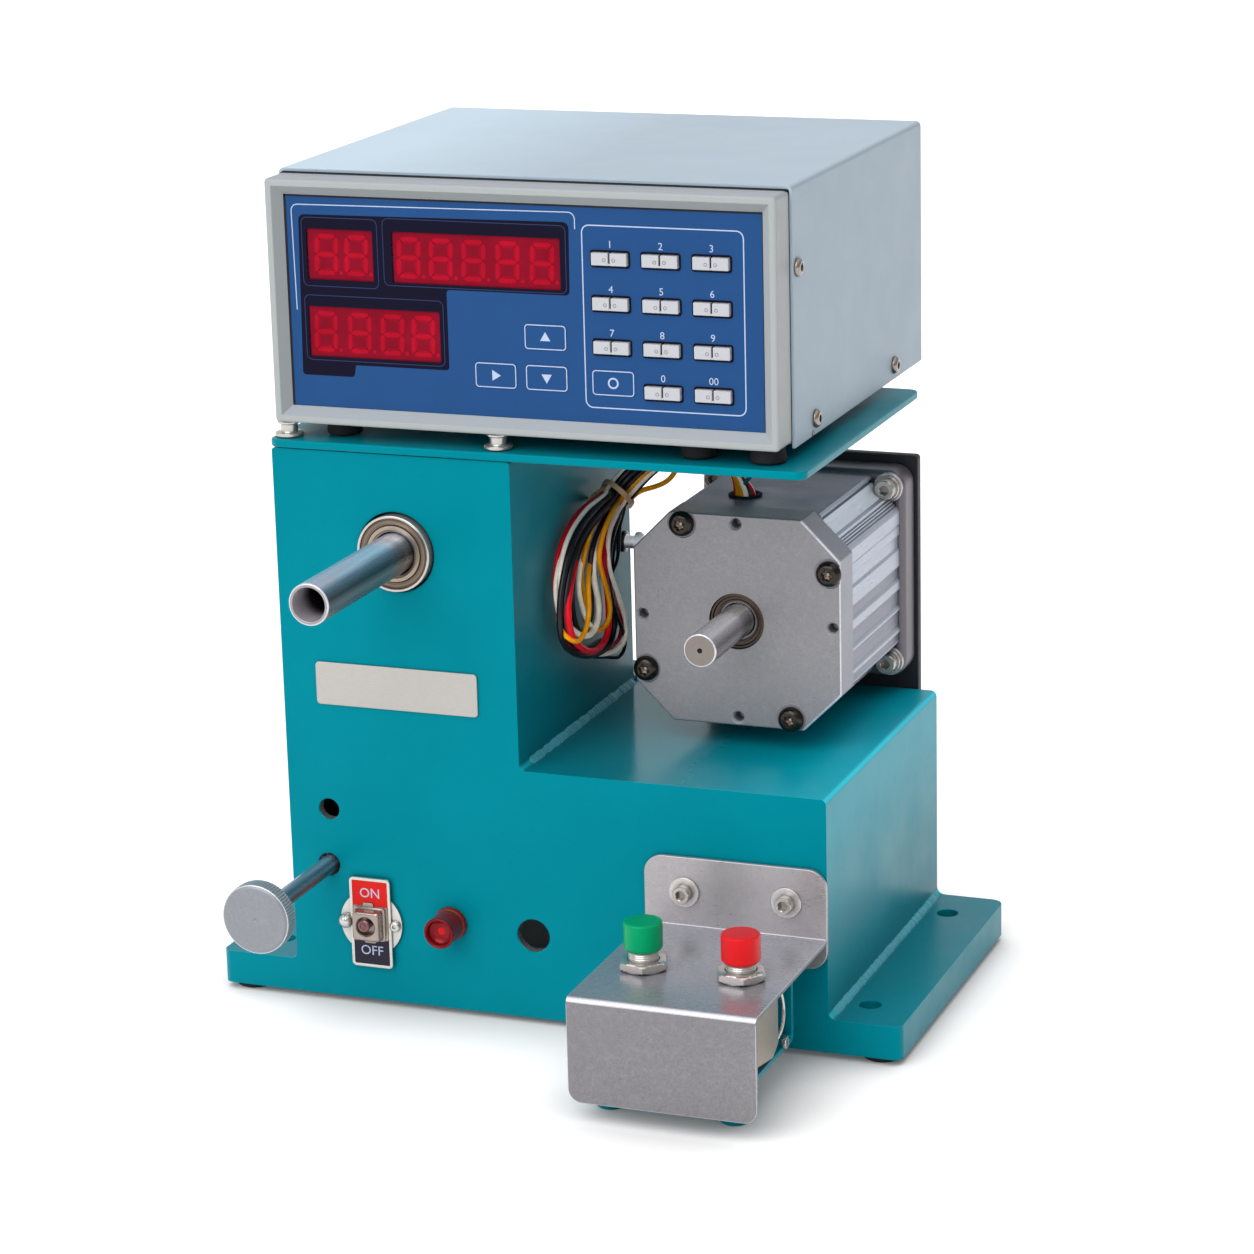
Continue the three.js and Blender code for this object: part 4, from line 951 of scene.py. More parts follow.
for i, (nm, (colr, dia, dn, upp, kind, loop)) in enumerate(LOOPS.items()):
    T0 = TIE + tie_s * dn[0] + tie_f * dn[1]
    T1 = TIE + tie_s * upp[0] + tie_f * upp[1]
    o0, o1 = T0 - TIE, T1 - TIE
    th = TAU * i / len(LOOPS)
    hx, hy = 49.2 + 3.0 * math.cos(th), 81.7 + 3.0 * math.sin(th)
    s = [Vector((27, 70, 220)) + 0.7 * Vector((o0.x, o0.y, 0)), Vector((26, 72, 211)) + 0.7 * Vector((o0.x, o0.y, 0)), Vector((22, 77, 204)) + 0.75 * o0,
         Vector((15, 81, 197.5)) + 0.85 * o0, Vector((7, 83, 190.5)) + 0.95 * o0, T0 + TIE_DIR * 4, T0] + [Vector(p) for p in loop] + [T1]
    if kind == "s":
        s += [Vector(p) for p in ((6.3, 84, 182.6), (7.9, 84, 183.4), (11.7, 84, 184.6), (15.9, 84, 186.2), (19.1, 84, 188.4), (21.0, 84, 190.8), (23.0, 84, 194.5), (28, 83.5, 198.5), (35, 83, 199.5))]
    else:
        s += [T1 + TIE_DIR * 4, Vector((7, 83.5, 190.5)) + 0.95 * o1, Vector((15, 83.5, 196.5)) + 0.8 * o1, Vector((25, 83, 200.5)) + 0.6 * o1, Vector((34, 82.5, 200)) + 0.45 * o1]
    s += [Vector((41.5, 82, 196.5)) + 0.25 * o1, Vector((46.0, 81.9, 192)) + 0.3 * Vector((hx - 49.2, hy - 81.7, 0)), Vector((hx, hy, 186)), Vector((hx, hy, 178))]
    declare("wire_%02d" % (i + 1), relax(even(catmull(s, 8), 1.0), 5), dia, WIRE[colr])
declare("wire_12", relax(even(catmull([(48, 80, 178), (48.2, 80, 186), (50, 80.2, 190.5), (54, 81.5, 194.5), (55, 83.5, 199), (49, 84, 204), (38, 79, 207.5), (30, 73, 212), (29, 71.5, 220)], 8), 1.0), 5), 1.6, WIRE["blue"])

# the tie round the bundle, and its tail with the square head
bm = bmesh.new()
rings = []
for k in range(49):
    a = TAU * k / 48
    out = tie_s * math.cos(a) + tie_f * math.sin(a)
    p = TIE + tie_s * (6.7 * math.cos(a)) + ((back * 10.5 + TIE_DIR * 1.6) if math.sin(a) > 0 else tie_f * 7.5) * math.sin(a)
    rings.append([p + out * du + TIE_DIR * dv for du, dv in ((-0.4, -1.0), (0.35, -1.0), (0.5, 0), (0.35, 1.0), (-0.4, 1.0))])
loft(rings, bm, (False, False))
tl = even(catmull([TIE - tie_s * 6.3 + TIE_DIR * 0.3, (-4.9, 77.5, 184.6), (-6.1, 75.2, 183.5), (-7.2, 74.2, 182.2)], 8), 0.8)
loops = []
for i, p in enumerate(tl):
    t = (tl[min(i + 1, len(tl) - 1)] - tl[max(i - 1, 0)]).normalized()
    wd_ = t.cross(tie_f).normalized()
    dp = t.cross(wd_).normalized()
    loops.append([p + wd_ * a + dp * b for a, b in ((-1.1, -0.4), (1.1, -0.4), (1.1, 0.4), (-1.1, 0.4))])
loft(loops, bm)
m4 = Matrix((tie_s, TIE_DIR, tie_f)).transposed().to_4x4()
m4.translation = Vector((-7.1, 74.0, 181.8))
add(bm, bevel(prism(round_poly(rect(-1.6, 1.6, -1.9, 1.9), 0.5), "z", -1.2, 1.2), 0.3, 2), m4)
obj("cable_tie", bm, M_TIE)

# ================================================================ base plate and housing, one painted weldment
TX0, TX1, SX1 = -101.3, -9.5, 105.5
STEP_Z, TOWER_Z, TOWER_D, BASE_D = 99.0, 212.2, 115.0, 136.5
allp = round_poly([(-132.2, 5), (132.2, 5), (132.2, 17.5), (SX1, 17.5), (SX1, STEP_Z), (TX1, STEP_Z), (TX1, TOWER_Z), (TX0, TOWER_Z), (TX0, 17.5), (-132.2, 17.5)],
                  [0, 0, 0, 3.0, 2.2, 2.6, 1.1, 1.1, 2.4, 0], 5)
lowp = round_poly([(-132.2, 5), (132.2, 5), (132.2, 17.5), (SX1, 17.5), (SX1, STEP_Z), (TX0, STEP_Z), (TX0, 17.5), (-132.2, 17.5)],
                  [0, 0, 0, 3.0, 2.2, 1.1, 2.4, 0], 5)
skin = boolean(prism(allp, "y", 0, TOWER_D), prism(lowp, "y", 60, BASE_D), "UNION")
skin = boolean(skin, prism(round_poly(rect(-132.2, 132.2, 0, BASE_D), [3.4, 3.6, 5, 5], 7), "z", 4, 220), "INTERSECT")
bevel(skin, 0.9, 3, 60, where=lambda e: e.is_convex)
cav = boolean(box(TX0 + 4, TX1 - 4, 4, TOWER_D + 6, 60, TOWER_Z + 5), box(TX0 + 4, SX1 - 4, 4, BASE_D - 4, 17.5, STEP_Z - 4), "UNION")
skin = boolean(skin, cav)
cut = bmesh.new()
for x in (-115.2, 115.2):
    for y in (18.5, 117):
        add(cut, prism(circle(x, y, 4.0, 40), "z", 3, 20))
for x, z, r, n in ((-85.4, 77.4, 4.0, 40), (-86.4, 56.0, 4.25, 40), (-6.1, 36.7, 6.25, 48), (-70.05, 35.3, 5.4, 32), (-38.3, 38.2, 5.1, 32), (-54.3, 176.6, 14.7, 72)):
    add(cut, prism(circle(x, z, r, n), "y", -3, 6))
add(cut, box(-92, -18, BASE_D - 8, BASE_D + 3, 26, 88))
skin = boolean(skin, cut)
bevel(skin, 0.45, 2, 55, where=lambda e: e.is_convex and (
    (all(abs(v.co.y) < 0.01 for v in e.verts) and all(math.hypot(v.co.x + 54.3, v.co.z - 176.6) < 15 or v.co.z < 82 for v in e.verts))
    or all(abs(v.co.z - 17.5) < 0.01 and abs(v.co.x) > 108 for v in e.verts)))
obj("housing_skin", skin, M_TEAL, rep=("housing", "base_plate"))


bm = bmesh.new()
for x, z, r in ((-85.4, 77.4, 4.0), (-86.4, 56.0, 4.25), (-6.1, 36.7, 6.25)):
    add(bm, lathe(round_poly([(r + 0.5, 0.02), (r - 0.02, 0.75), (r - 0.05, 3.9), (r + 0.3, 3.9)], 0.1, 2), "y", (x, z), 48, closed=True))
obj("hole_edges", bm, M_RIM)


def weld(name, a, b, r, lean, seed, pitch=1.35, flat=0.6):
    """A fillet weld bead from a to b; lean is the direction it faces."""
    rnd = random.Random(seed)
    A, B = Vector(a), Vector(b)
    L = (B - A).length
    t = (B - A).normalized()
    f = Vector(lean).normalized()
    s = t.cross(f).normalized()
    nst = int(L / (pitch / 5))
    blob = [rnd.uniform(0.78, 1.18) for _ in range(int(L / pitch) + 3)]
    drift = [rnd.uniform(-0.25, 0.25) for _ in range(int(L / 9) + 3)]
    loops = []
    for i in range(nst + 1):
        d = L * i / nst
        ph = (d / pitch) % 1.0
        k = int(d / pitch)
        rip = 0.82 + 0.28 * math.sqrt(max(0.0, 1 - (2 * ph - 1) ** 2))
        j = d / 9
        dr = drift[int(j)] * (1 - j % 1) + drift[int(j) + 1] * (j % 1)
        rr = r * rip * (blob[k] * (1 - ph) + blob[k + 1] * ph) * min(1.0, 0.45 + 3 * min(d, L - d) / r / 3)
        p = A + t * d + f * (dr * 0.3) - f * 0.35 * r
        loops.append([p + f * (flat * rr * math.sin(th)) + s * ((rr + dr * 0.4) * 1.25 * math.cos(th)) for th in [TAU * m / 14 for m in range(14)]])
    return obj(name, loft(loops), M_TEAL_WELD, sharp=50)


weld("weld_step", (TX1 + 0.9, 9, STEP_Z + 0.9), (TX1 + 0.9, 113.5, STEP_Z + 0.9), 2.0, (1, 0, 1), 3, 2.3)
weld("weld_base_right", (SX1 + 1.0, 4, 18.5), (SX1 + 1.0, 133, 18.5), 1.5, (1, 0, 1), 5, 1.7)
weld("weld_base_left", (TX0 - 0.8, 4, 18.3), (TX0 - 0.8, 133, 18.3), 1.4, (-1, 0, 1), 7, 1.7)

# rubber feet, with a screw recess below
for i, (nm, x, y) in enumerate((("front_left", -123, 8.6), ("front_right", 123, 8.6), ("rear_left", -123, 127.9), ("rear_right", 123, 127.9))):
    p = [(0, 3.6), (3.0, 3.6), (3.2, 2.6), (6.2, 2.6), (7.0, 3.0), (7.3, 3.8), (7.6, 5.1), (0, 5.1)]
    obj("rubber_foot_" + nm, lathe(p, "z", (x, y), 48), M_RUBBER, rep=("foot_" + nm,))

# top plate with the welded bar under the counter box
tp = bevel(prism(round_poly(rect(-102.2, 99.5, -1, 136), 4, 6), "z", 212.5, 215.5), 0.7, 3, 60)
tp = boolean(tp, prism(circle(27, 70, 7, 40), "z", 200, 230))
add(tp, bevel(box(-75, 65, 118, 128, 215.4, 221.2), 0.5, 2, 60))
obj("top_plate_skin", tp, M_TEAL, rep=("top_plate",))
gr = [(6.9, 211.9), (8.6, 211.9), (8.8, 212.4), (7.0, 212.6), (7.0, 215.4), (8.8, 215.6), (8.6, 216.3), (6.9, 216.3), (5.9, 215.6), (5.7, 214), (5.9, 212.4)]
obj("lead_grommet", lathe(gr, "z", (27, 70), 48, closed=True), M_RUBBER)

# rear cover
a, b, c, d, e, f = 115.3, 116.8, 136.8, 138.3, 99.3, 100.8
zf = round_poly([(a, 211.5), (a, e), (c, e), (c, 20), (d, 20), (d, f), (b, f), (b, 211.5)], [0, 0.4, 1.8, 0, 0, 0.4, 1.8, 0], 4)
rc = bevel(prism(zf, "x", TX0 + 0.2, TX1 - 0.2), 0.3, 2, 60)
cut = bmesh.new()
for i in range(5):
    add(cut, prism(round_poly(rect(-80, -31, 34 + 10 * i, 38 + 10 * i), 1.9, 5), "y", 134, 142))
obj("rear_cover_skin", boolean(rc, cut), M_TEAL, rep=("rear_cover",))
bm = bmesh.new()
for x, y, z in ((-96, b, 206), (-15, b, 206), (-96, b, 106), (-15, b, 106), (-96.5, d, 26), (-14.5, d, 26), (-96.5, d, 94), (-14.5, d, 94)):
    add(bm, socket_screw(2.8, 1.6, 1.2, depth=1.0), place((x, y, z), (0, 1, 0)))
obj("rear_cover_screws", bm, M_NICKEL)

# ================================================================ counter box
BX0, BX1, BY0, BY1, BZ0, BZ1 = -99.5, 90.0, 0.5, 13.9, 221.5, 309.0


def frame_sweep(prof, x0, x1, z0, z1, rc, n=5):
    """A closed profile of (inset, y) taken round a rectangle whose outer corners have radius rc."""
    loops = []
    for e, y in prof:
        r = max(rc - e, 0.25)
        L = []
        for cx, cz, a0 in ((x0 + e + r, z0 + e + r, math.pi), (x1 - e - r, z0 + e + r, 1.5 * math.pi), (x1 - e - r, z1 - e - r, 0), (x0 + e + r, z1 - e - r, 0.5 * math.pi)):
            for k in range(n + 1):
                th = a0 + k / n * math.pi / 2
                L.append((cx + r * math.cos(th), y, cz + r * math.sin(th)))
        loops.append(L)
    return loft(loops + [loops[0]], caps=(False, False))


prof = round_poly([(0, BY1), (0, BY0), (2.5, BY0), (5.85, BY0 + 3.3), (5.85, 6.1), (6.6, 6.1), (6.6, 7.4), (2.2, 7.4), (2.2, BY1)],
                  [0.2, 1.1, 0.5, 0.25, 0.1, 0.1, 0.1, 0.1, 0.2], 4)
bz = frame_sweep(prof, BX0, BX1, BZ0, BZ1, 1.6)
bz.normal_update()
# faces turned up take the up copy and the inner faces turned down or to the right the darker copy: painted light and
# shade; the filler strip behind the top rim takes the up copy as well
for fc in bz.faces:
    n_, q = fc.normal, fc.calc_center_median()
    deep = q.y > BY0 + 0.3 and BX0 + 2.3 < q.x < BX1 - 2.3 and BZ0 + 2.3 < q.z < BZ1 - 2.3
    fc.material_index = 1 if n_.z > 0.4 else (2 if deep and (n_.z < -0.3 or n_.x > 0.3) else 0)
add(bz, box(BX0 + 1.5, BX1 - 1.5, BY1 - 0.5, 14.75, 307.2, 308.35))
for fc in bz.faces:
    if fc.calc_center_median().y > BY1 + 0.01 or (fc.calc_center_median().z > 308.3 and fc.calc_center_median().y > BY1 - 0.4):
        fc.material_index = 1
obj("bezel", bz, [M_BEZEL, M_BEZEL_TOP, M_BEZEL_SHADED], rep=("display_bezel",), sharp=40)

WIN = [(-85.4, -60.2, 272.9, 291.9), (-52.7, 10.3, 273.0, 292.0), (-86.0, -35.6, 245.3, 264.3)]
KX, KZ = [28.9, 47.3, 65.7], [285.0, 269.4, 254.2, 239.2]
keys = [(KX[c], KZ[r]) for r in range(4) for c in range(0 if r < 3 else 1, 3)]
pan = prism(round_poly(rect(-93.7, 84.2, 227.3, 304.2), 0.8), "y", 4.0, 6.0)
cut = bmesh.new()
for x0, x1, z0, z1 in WIN:
    add(cut, prism(round_poly(rect(x0 - .3, x1 + .3, z0 - .3, z1 + .3), 0.5, 3), "y", 3, 7))
for x, z in keys:
    add(cut, prism(round_poly(rect(x - 6.9, x + 6.9, z - 2.6, z + 2.6), 0.5, 3), "y", 3, 7))
pan = boolean(pan, cut)
bevel(pan, 0.15, 1, 60, where=lambda e: all(abs(v.co.y - 4.0) < 0.01 for v in e.verts))
obj("panel", pan, M_PANEL, rep=("control_panel",))

# printed field round the displays
navy = [(-88.2, 296.1), (-89.2, 238.7), (-69.2, 238.7), (-68.4, 243.0), (-32.5, 243.0), (-32.5, 271.6), (13.6, 271.6), (13.9, 297.1)]
nv = prism(round_poly(navy, [2.2, 1.2, 1.2, 0.6, 1.2, 1.2, 1.6, 2.2], 5), "y", 3.93, 4.2)
cut = bmesh.new()
for x0, x1, z0, z1 in WIN:
    add(cut, prism(round_poly(rect(x0 - .1, x1 + .1, z0 + .25, z1 - .75), 0.6, 4), "y", 3, 7))
obj("panel_field", boolean(nv, cut), M_NAVY_PRINT_AND_SHADE)

# painted shadow: thin near-black strips along the top, left and right edges of the panel, where the bezel shades it
bm = bmesh.new()
add(bm, box(-93.65, 84.15, 3.86, 4.06, 302.45, 303.2))
add(bm, box(-93.65, -92.85, 3.86, 4.06, 227.4, 303.2))
add(bm, box(83.85, 84.15, 3.86, 4.06, 227.4, 303.2))
obj("panel_shadow_line", bm, M_SHADE_BLACK, wn=False)
bm = bmesh.new()
for x0, x1, z0, z1 in WIN:
    add(bm, bevel(prism(round_poly(rect(x0, x1, z0, z1), 0.4, 3), "y", 4.5, 12.1), 0.25, 2, 60))
add(bm, box(-92, 82, 12, 13.6, 229, 302.5))
obj("display_blocks", bm, M_WINDOW, rep=("display_module",))


def digit(cx, cz, w=8.9, h=15.0, t=1.5, slant=0.04, g=0.16):
    """The seven segments and the point of one numeral, all of them."""
    hw, hh = w / 2, h / 2
    segs = []

    def hseg(z):
        return [(-hw + t / 2 + g, z), (-hw + t + g, z + t / 2), (hw - t - g, z + t / 2), (hw - t / 2 - g, z), (hw - t - g, z - t / 2), (-hw + t + g, z - t / 2)]

    def vseg(x, z0, z1):
        return [(x, z0 + g), (x + t / 2, z0 + t / 2 + g), (x + t / 2, z1 - t / 2 - g), (x, z1 - g), (x - t / 2, z1 - t / 2 - g), (x - t / 2, z0 + t / 2 + g)]
    m = t / 2
    segs += [hseg(hh - m), hseg(0), hseg(-hh + m)]
    segs += [vseg(-hw + m, 0, hh - m), vseg(hw - m, 0, hh - m), vseg(-hw + m, -hh + m, 0), vseg(hw - m, -hh + m, 0)]
    segs.append(circle(hw + 1.3, -hh + 0.8, 0.75, 12))
    return [[(cx + x + slant * z, cz + z) for x, z in q] for q in segs]


FR = [(0.286, 0.743), (0.098, 0.291, 0.486, 0.689, 0.893), (0.127, 0.386, 0.635, 0.87)]
# each numeral also gets a wider copy behind its segments in the glowing halo material: a painted glow
bm, bg_ = bmesh.new(), bmesh.new()
for (x0, x1, z0, z1), fr in zip(WIN, FR):
    for f_ in fr:
        cx = x0 + (x1 - x0) * f_
        for q in digit(cx, (z0 + z1) / 2 - 0.3, 8.9, 14.5):
            prism(q, "y", 4.40, 4.7, bm)
        for q in digit(cx, (z0 + z1) / 2 - 0.3, 9.5, 15.1, 2.5, 0.04, -0.1)[:7]:
            prism(q, "y", 4.46, 4.7, bg_)
fix(bm)
bmesh.ops.recalc_face_normals(bg_, faces=bg_.faces)
obj("display_segments", bm, M_SEGMENT, wn=False)
obj("display_halo", bg_, M_GLOW, wn=False)


def strip(points, width, closed, y0=3.9, y1=4.15):
    """A printed line as a thin raised strip along points in x and z."""
    P = [Vector(p) for p in points]
    n = len(P)
    A, B = [], []
    for i, p in enumerate(P):
        a = P[i - 1] if (closed or i > 0) else p
        b = P[(i + 1) % n] if (closed or i < n - 1) else p
        t = (b - a).normalized()
        s = Vector((-t.y, t.x)) * width / 2
        A.append(p + s)
        B.append(p - s)
    bm = bmesh.new()
    loops = [[(a.x, y0, a.y), (b.x, y0, b.y), (b.x, y1, b.y), (a.x, y1, a.y)] for a, b in zip(A, B)]
    if closed:
        return loft(loops + [loops[0]], bm, (False, False))
    return loft(loops, bm)


bm = bmesh.new()
add(bm, strip(round_poly(rect(18.7, 77.2, 232.8, 296.4), 2.6, 6), 0.42, True))
add(bm, strip(round_poly([(-90.3, 262.0), (-90.9, 299.6), (16.2, 300.6), (16.2, 294.8)], 2.4, 6, False), 0.36, False))
for x, z in ((4.2, 256.6), (-14.8, 242.2), (4.3, 242.2), (29.0, 241.7)):
    add(bm, strip(round_poly(rect(x - 7.5, x + 7.5, z - 4.2, z + 4.2), 1.1, 4), 0.34, True, 3.62, 3.95))
fix(bm)
dim, halo = bmesh.new(), bmesh.new()
for x0, x1, z0, z1 in ((-87.2, -58.2, 270.8, 295.2), (-56.0, 12.6, 272.2, 295.8), (-87.2, -34.0, 244.3, 267.5)):
    add(dim, strip(round_poly(rect(x0, x1, z0, z1), 2.0, 5), 0.3, True, 3.86, 4.0))
# near-black rings round the keys, in the navy print's material: painted shade in the gaps round the keys
for x, z in keys:
    add(halo, strip(round_poly(rect(x - 7.05, x + 7.05, z - 2.85, z + 2.75), 0.8, 4), 0.55, True, 3.9, 4.1))
obj("field_lines", dim, M_LINE_DIM, wn=False)
obj("key_surrounds", halo, M_NAVY_PRINT_AND_SHADE, wn=False)
# generic marks: plain numbers over the white keys, arrows and signs on the film keys
for i, (x, z) in enumerate(keys):
    add(bm, text_mesh("0123456789"[(i + 1) % 10] if i < 10 else "00", 3.6, 0.12, front_at(x, 3.95, z + 4.9)))
obj("panel_lines", bm, M_PRINT, wn=False)

bm = bmesh.new()
for x, z in ((4.2, 256.6), (-14.8, 242.2), (4.3, 242.2), (29.0, 241.7)):
    add(bm, bevel(prism(round_poly(rect(x - 7.7, x + 7.7, z - 4.4, z + 4.4), 1.3, 4), "y", 3.72, 4.2), 0.28, 3, 60))
obj("film_keys", bm, M_PANEL)
bm = bmesh.new()
tri = [(-1.9, -1.3), (1.9, -1.3), (0, 1.9)]
add(bm, prism([(4.2 + a, 256.6 + b) for a, b in tri], "y", 3.64, 3.9))
add(bm, prism([(-14.8 + b, 242.2 + a) for a, b in tri], "y", 3.64, 3.9))
add(bm, prism([(4.3 - a, 242.2 - b) for a, b in tri], "y", 3.64, 3.9))
add(bm, strip(circle(29.0, 241.7, 1.7, 20), 0.6, True, 3.64, 3.9))
obj("film_key_marks", bm, M_PRINT, wn=False)

for i, (x, z) in enumerate(keys):
    nm = "key_%02d" % (i + 1)
    k = bmesh.new()
    for sg in (-1, 1):
        add(k, bevel(prism(round_poly(rect(*sorted((x + sg * 0.3, x + sg * 6.5)), z - 2.2, z + 2.2), 0.3, 3), "y", 2.4, 11.0), 0.32, 3, 60))
    add(k, box(x - 0.5, x + 0.5, 2.55, 4.0, z - 2.1, z - 1.45))
    for fc in k.faces:
        fc.material_index = 0
    # the stem seen through the split between the two halves is near-black: a painted shade line down the key
    st = box(x - 0.5, x + 0.5, 3.4, 10.9, z - 2.0, z + 2.0)
    for fc in st.faces:
        fc.material_index = 1
    add(k, st)
    for sx in (-1.75, 1.75):
        ring_ = strip(circle(x + sx, z - 0.25, 0.55, 14), 0.22, True, 2.36, 2.5)
        face_mat(ring_, lambda f: True, 2)
        add(k, ring_)
    obj("keycap_%02d" % (i + 1), k, [M_KEY, M_SHADE_BLACK, M_KEY_MARK], body="body_" + nm, rep=(nm,))

# cover, bent from one sheet
t = 1.2
cx0, cx1, cy0, cy1, cz0, cz1 = -100.5, 91.0, 14.8, 167.0, 219.8, 310.5
u = round_poly([(cx0, cz0), (cx0 + t, cz0), (cx0 + t, cz1 - t), (cx1 - t, cz1 - t), (cx1 - t, cz0), (cx1, cz0), (cx1, cz1), (cx0, cz1)],
               [0, 0, 0.7, 0.7, 0, 0, 1.9, 1.9], 5)
obj("cover_skin", bevel(prism(u, "y", cy0, cy1), 0.28, 2, 60), M_COVER, rep=("box_cover",))
bm = bmesh.new()
for y, z in ((19, 282.1), (131, 225.2), (37.3, 225.6)):
    add(bm, socket_screw(3.3, 1.9, 1.3, depth=1.1), place((cx1, y, z), (1, 0, 0)))
    add(bm, socket_screw(3.3, 1.9, 1.3, depth=1.1), place((cx0, y, z), (-1, 0, 0)))
add(bm, socket_screw(1.0, 0.6, 0.4, depth=0.4), place((cx1, 34.3, 220.9), (1, 0, 0)))
obj("cover_screws", bm, M_SCREW)
# a soft seal under the seam between bezel and cover
obj("cover_seal", bevel(box(cx0 + 1.6, cx1 - 1.6, 12.8, 17.2, cz1 - 3.4, cz1 - 1.3), 0.3, 2, 60), M_RUBBER)

# rear screws of the counter box
bm = bmesh.new()
for x, z in ((-92, 300), (82, 300), (-92, 228), (82, 228)):
    add(bm, socket_screw(2.6, 1.5, 1.1, depth=0.9), place((x, 166.5, z), (0, 1, 0)))
obj("rear_screws", bm, M_NICKEL)


# nickel posts and rubber feet under the counter box
def post(nm, x, y):
    p = [(0, 215.8), (5.0, 215.8), (5.2, 216.0), (5.2, 216.7), (4.9, 217.0), (3.3, 217.2), (3.1, 217.5), (3.1, 219.9), (3.3, 220.2), (4.0, 220.3), (4.2, 220.5), (4.2, 221.1), (0, 221.1)]
    obj(nm + "_turned", lathe(p, "z", (x, y), 48), M_NICKEL, rep=(nm,))


post("standoff_left", -96.7, 6)
post("standoff_middle", -15.7, 6)
for nm, x, y in (("box_foot_middle", 56.5, 13), ("box_foot_right", 82.5, 11), ("", -79, 15)):
    p = [(0, 215.8), (5.8, 215.8), (6.3, 216.2), (6.4, 217.2), (5.9, 220.8), (5.6, 221.2), (0, 221.2)]
    o = obj((nm or "box_foot_left") + "_rubber", lathe(p, "z", (x, y), 48), M_RUBBER, rep=(nm,) if nm else ())

# ================================================================ spindle and bearing
SX, SZ = -54.3, 176.6
p = round_poly([(0, -10), (6.0, -10), (6.0, -72.3), (7.5, -72.3), (7.5, 113), (0, 113)], [0, 0.6, 0.35, 0.55, 0.4, 0], 4, False)
bm = lathe(p, "y", (SX, SZ), 96)
face_mat(bm, lambda f: math.hypot(f.calc_center_median().x - SX, f.calc_center_median().z - SZ) < 6.2 and f.calc_center_median().y < 0, 1)
face_mat(bm, lambda f: f.calc_center_median().y < -71.6 and math.hypot(f.calc_center_median().x - SX, f.calc_center_median().z - SZ) > 5.7, 2)
# the outer rounding of the front end takes the bright highlight copy: painted highlight
face_mat(bm, lambda f: f.calc_center_median().y < -71.7 and math.hypot(f.calc_center_median().x - SX, f.calc_center_median().z - SZ) > 6.9, 3)
obj("spindle_tube", bm, [M_SPINDLE, M_BORE, M_RIM, M_EDGE_HIGHLIGHT], body="spindle_unit", rep=("spindle",))

ro = round_poly([(12.95, -0.6), (12.95, -2.3), (13.15, -2.6), (14.0, -2.6), (14.0, 4.4), (12.95, 4.4)], [0, 0.1, 0.15, 0.5, 0.4, 0], 4)
obj("bearing_rings", lathe(ro, "y", (SX, SZ), 96, closed=True), M_RING, rep=("front_bearing",), sharp=40)
ri = round_poly([(7.8, 4.4), (7.8, 0.2), (8.05, 0.0), (8.05, -1.9), (8.7, -2.1), (8.9, -2.5), (10.2, -2.5), (10.35, -2.2), (10.35, 4.4)], [0.2, 0.1, 0.1, 0.3, 0.2, 0.2, 0.2, 0.1, 0.2], 3)
obj("bearing_inner_ring", lathe(ri, "y", (SX, SZ), 96, closed=True), M_INNER, sharp=40)
sh = round_poly([(10.45, -1.3), (10.6, -2.0), (11.0, -2.1), (11.3, -1.75), (12.2, -1.6), (12.55, -1.95), (12.75, -1.9), (12.85, -1.3), (12.85, 3.5), (10.45, 3.5)], [0, 0.2, 0.2, 0.4, 0.4, 0.15, 0.1, 0, 0, 0], 3)
obj("bearing_shield", lathe(sh, "y", (SX, SZ), 96, closed=True), M_SHIELD, sharp=40)

# ================================================================ motor on the step
MX, MZ = 57.1, 146.8
h, c = 39.1, 14.2
octo = [(-h + c, -h), (h - c, -h), (h, -h + c), (h, h - c), (h - c, h), (-h + c, h), (-h, h - c), (-h, -h + c)]
octo = [(MX + a, MZ + b) for a, b in octo]
fp = bevel(prism(round_poly(octo, 1.2, 3), "y", 47.2, 62.5), 0.7, 3, 60)
cut = lathe([(0, 70), (6.5, 70), (6.5, 49.4), (10.4, 49.4), (10.4, 40), (0, 40)], "y", (MX, MZ), 64)
for a, b in ((36, 0), (-36, 0), (0, 36), (0, -36)):
    add(cut, lathe([(0, 40), (2.55, 40), (2.55, 47.2), (1.75, 48.7), (1.75, 54), (0, 55)], "y", (MX + a, MZ + b), 32))
fp = boolean(fp, cut)
bevel(fp, 0.35, 2, 60, where=lambda e: e.is_convex and all(abs(v.co.y - 47.2) < 0.01 for v in e.verts) and all(math.hypot(v.co.x - MX, v.co.z - MZ) < 38.6 for v in e.verts))
cut = bmesh.new()
for ang in (30, 120, 210, 300):
    th = math.radians(ang)
    add(cut, lathe([(0, 40), (5.5, 40), (5.5, 47.1), (5.15, 47.5), (0, 47.5)], "y", (MX + 40.4 * math.cos(th), MZ + 40.4 * math.sin(th)), 40))
fp = boolean(fp, cut)
HOLES = [(MX + a, MZ + b) for a, b in ((36, 0), (-36, 0), (0, 36), (0, -36))]
fp.normal_update()
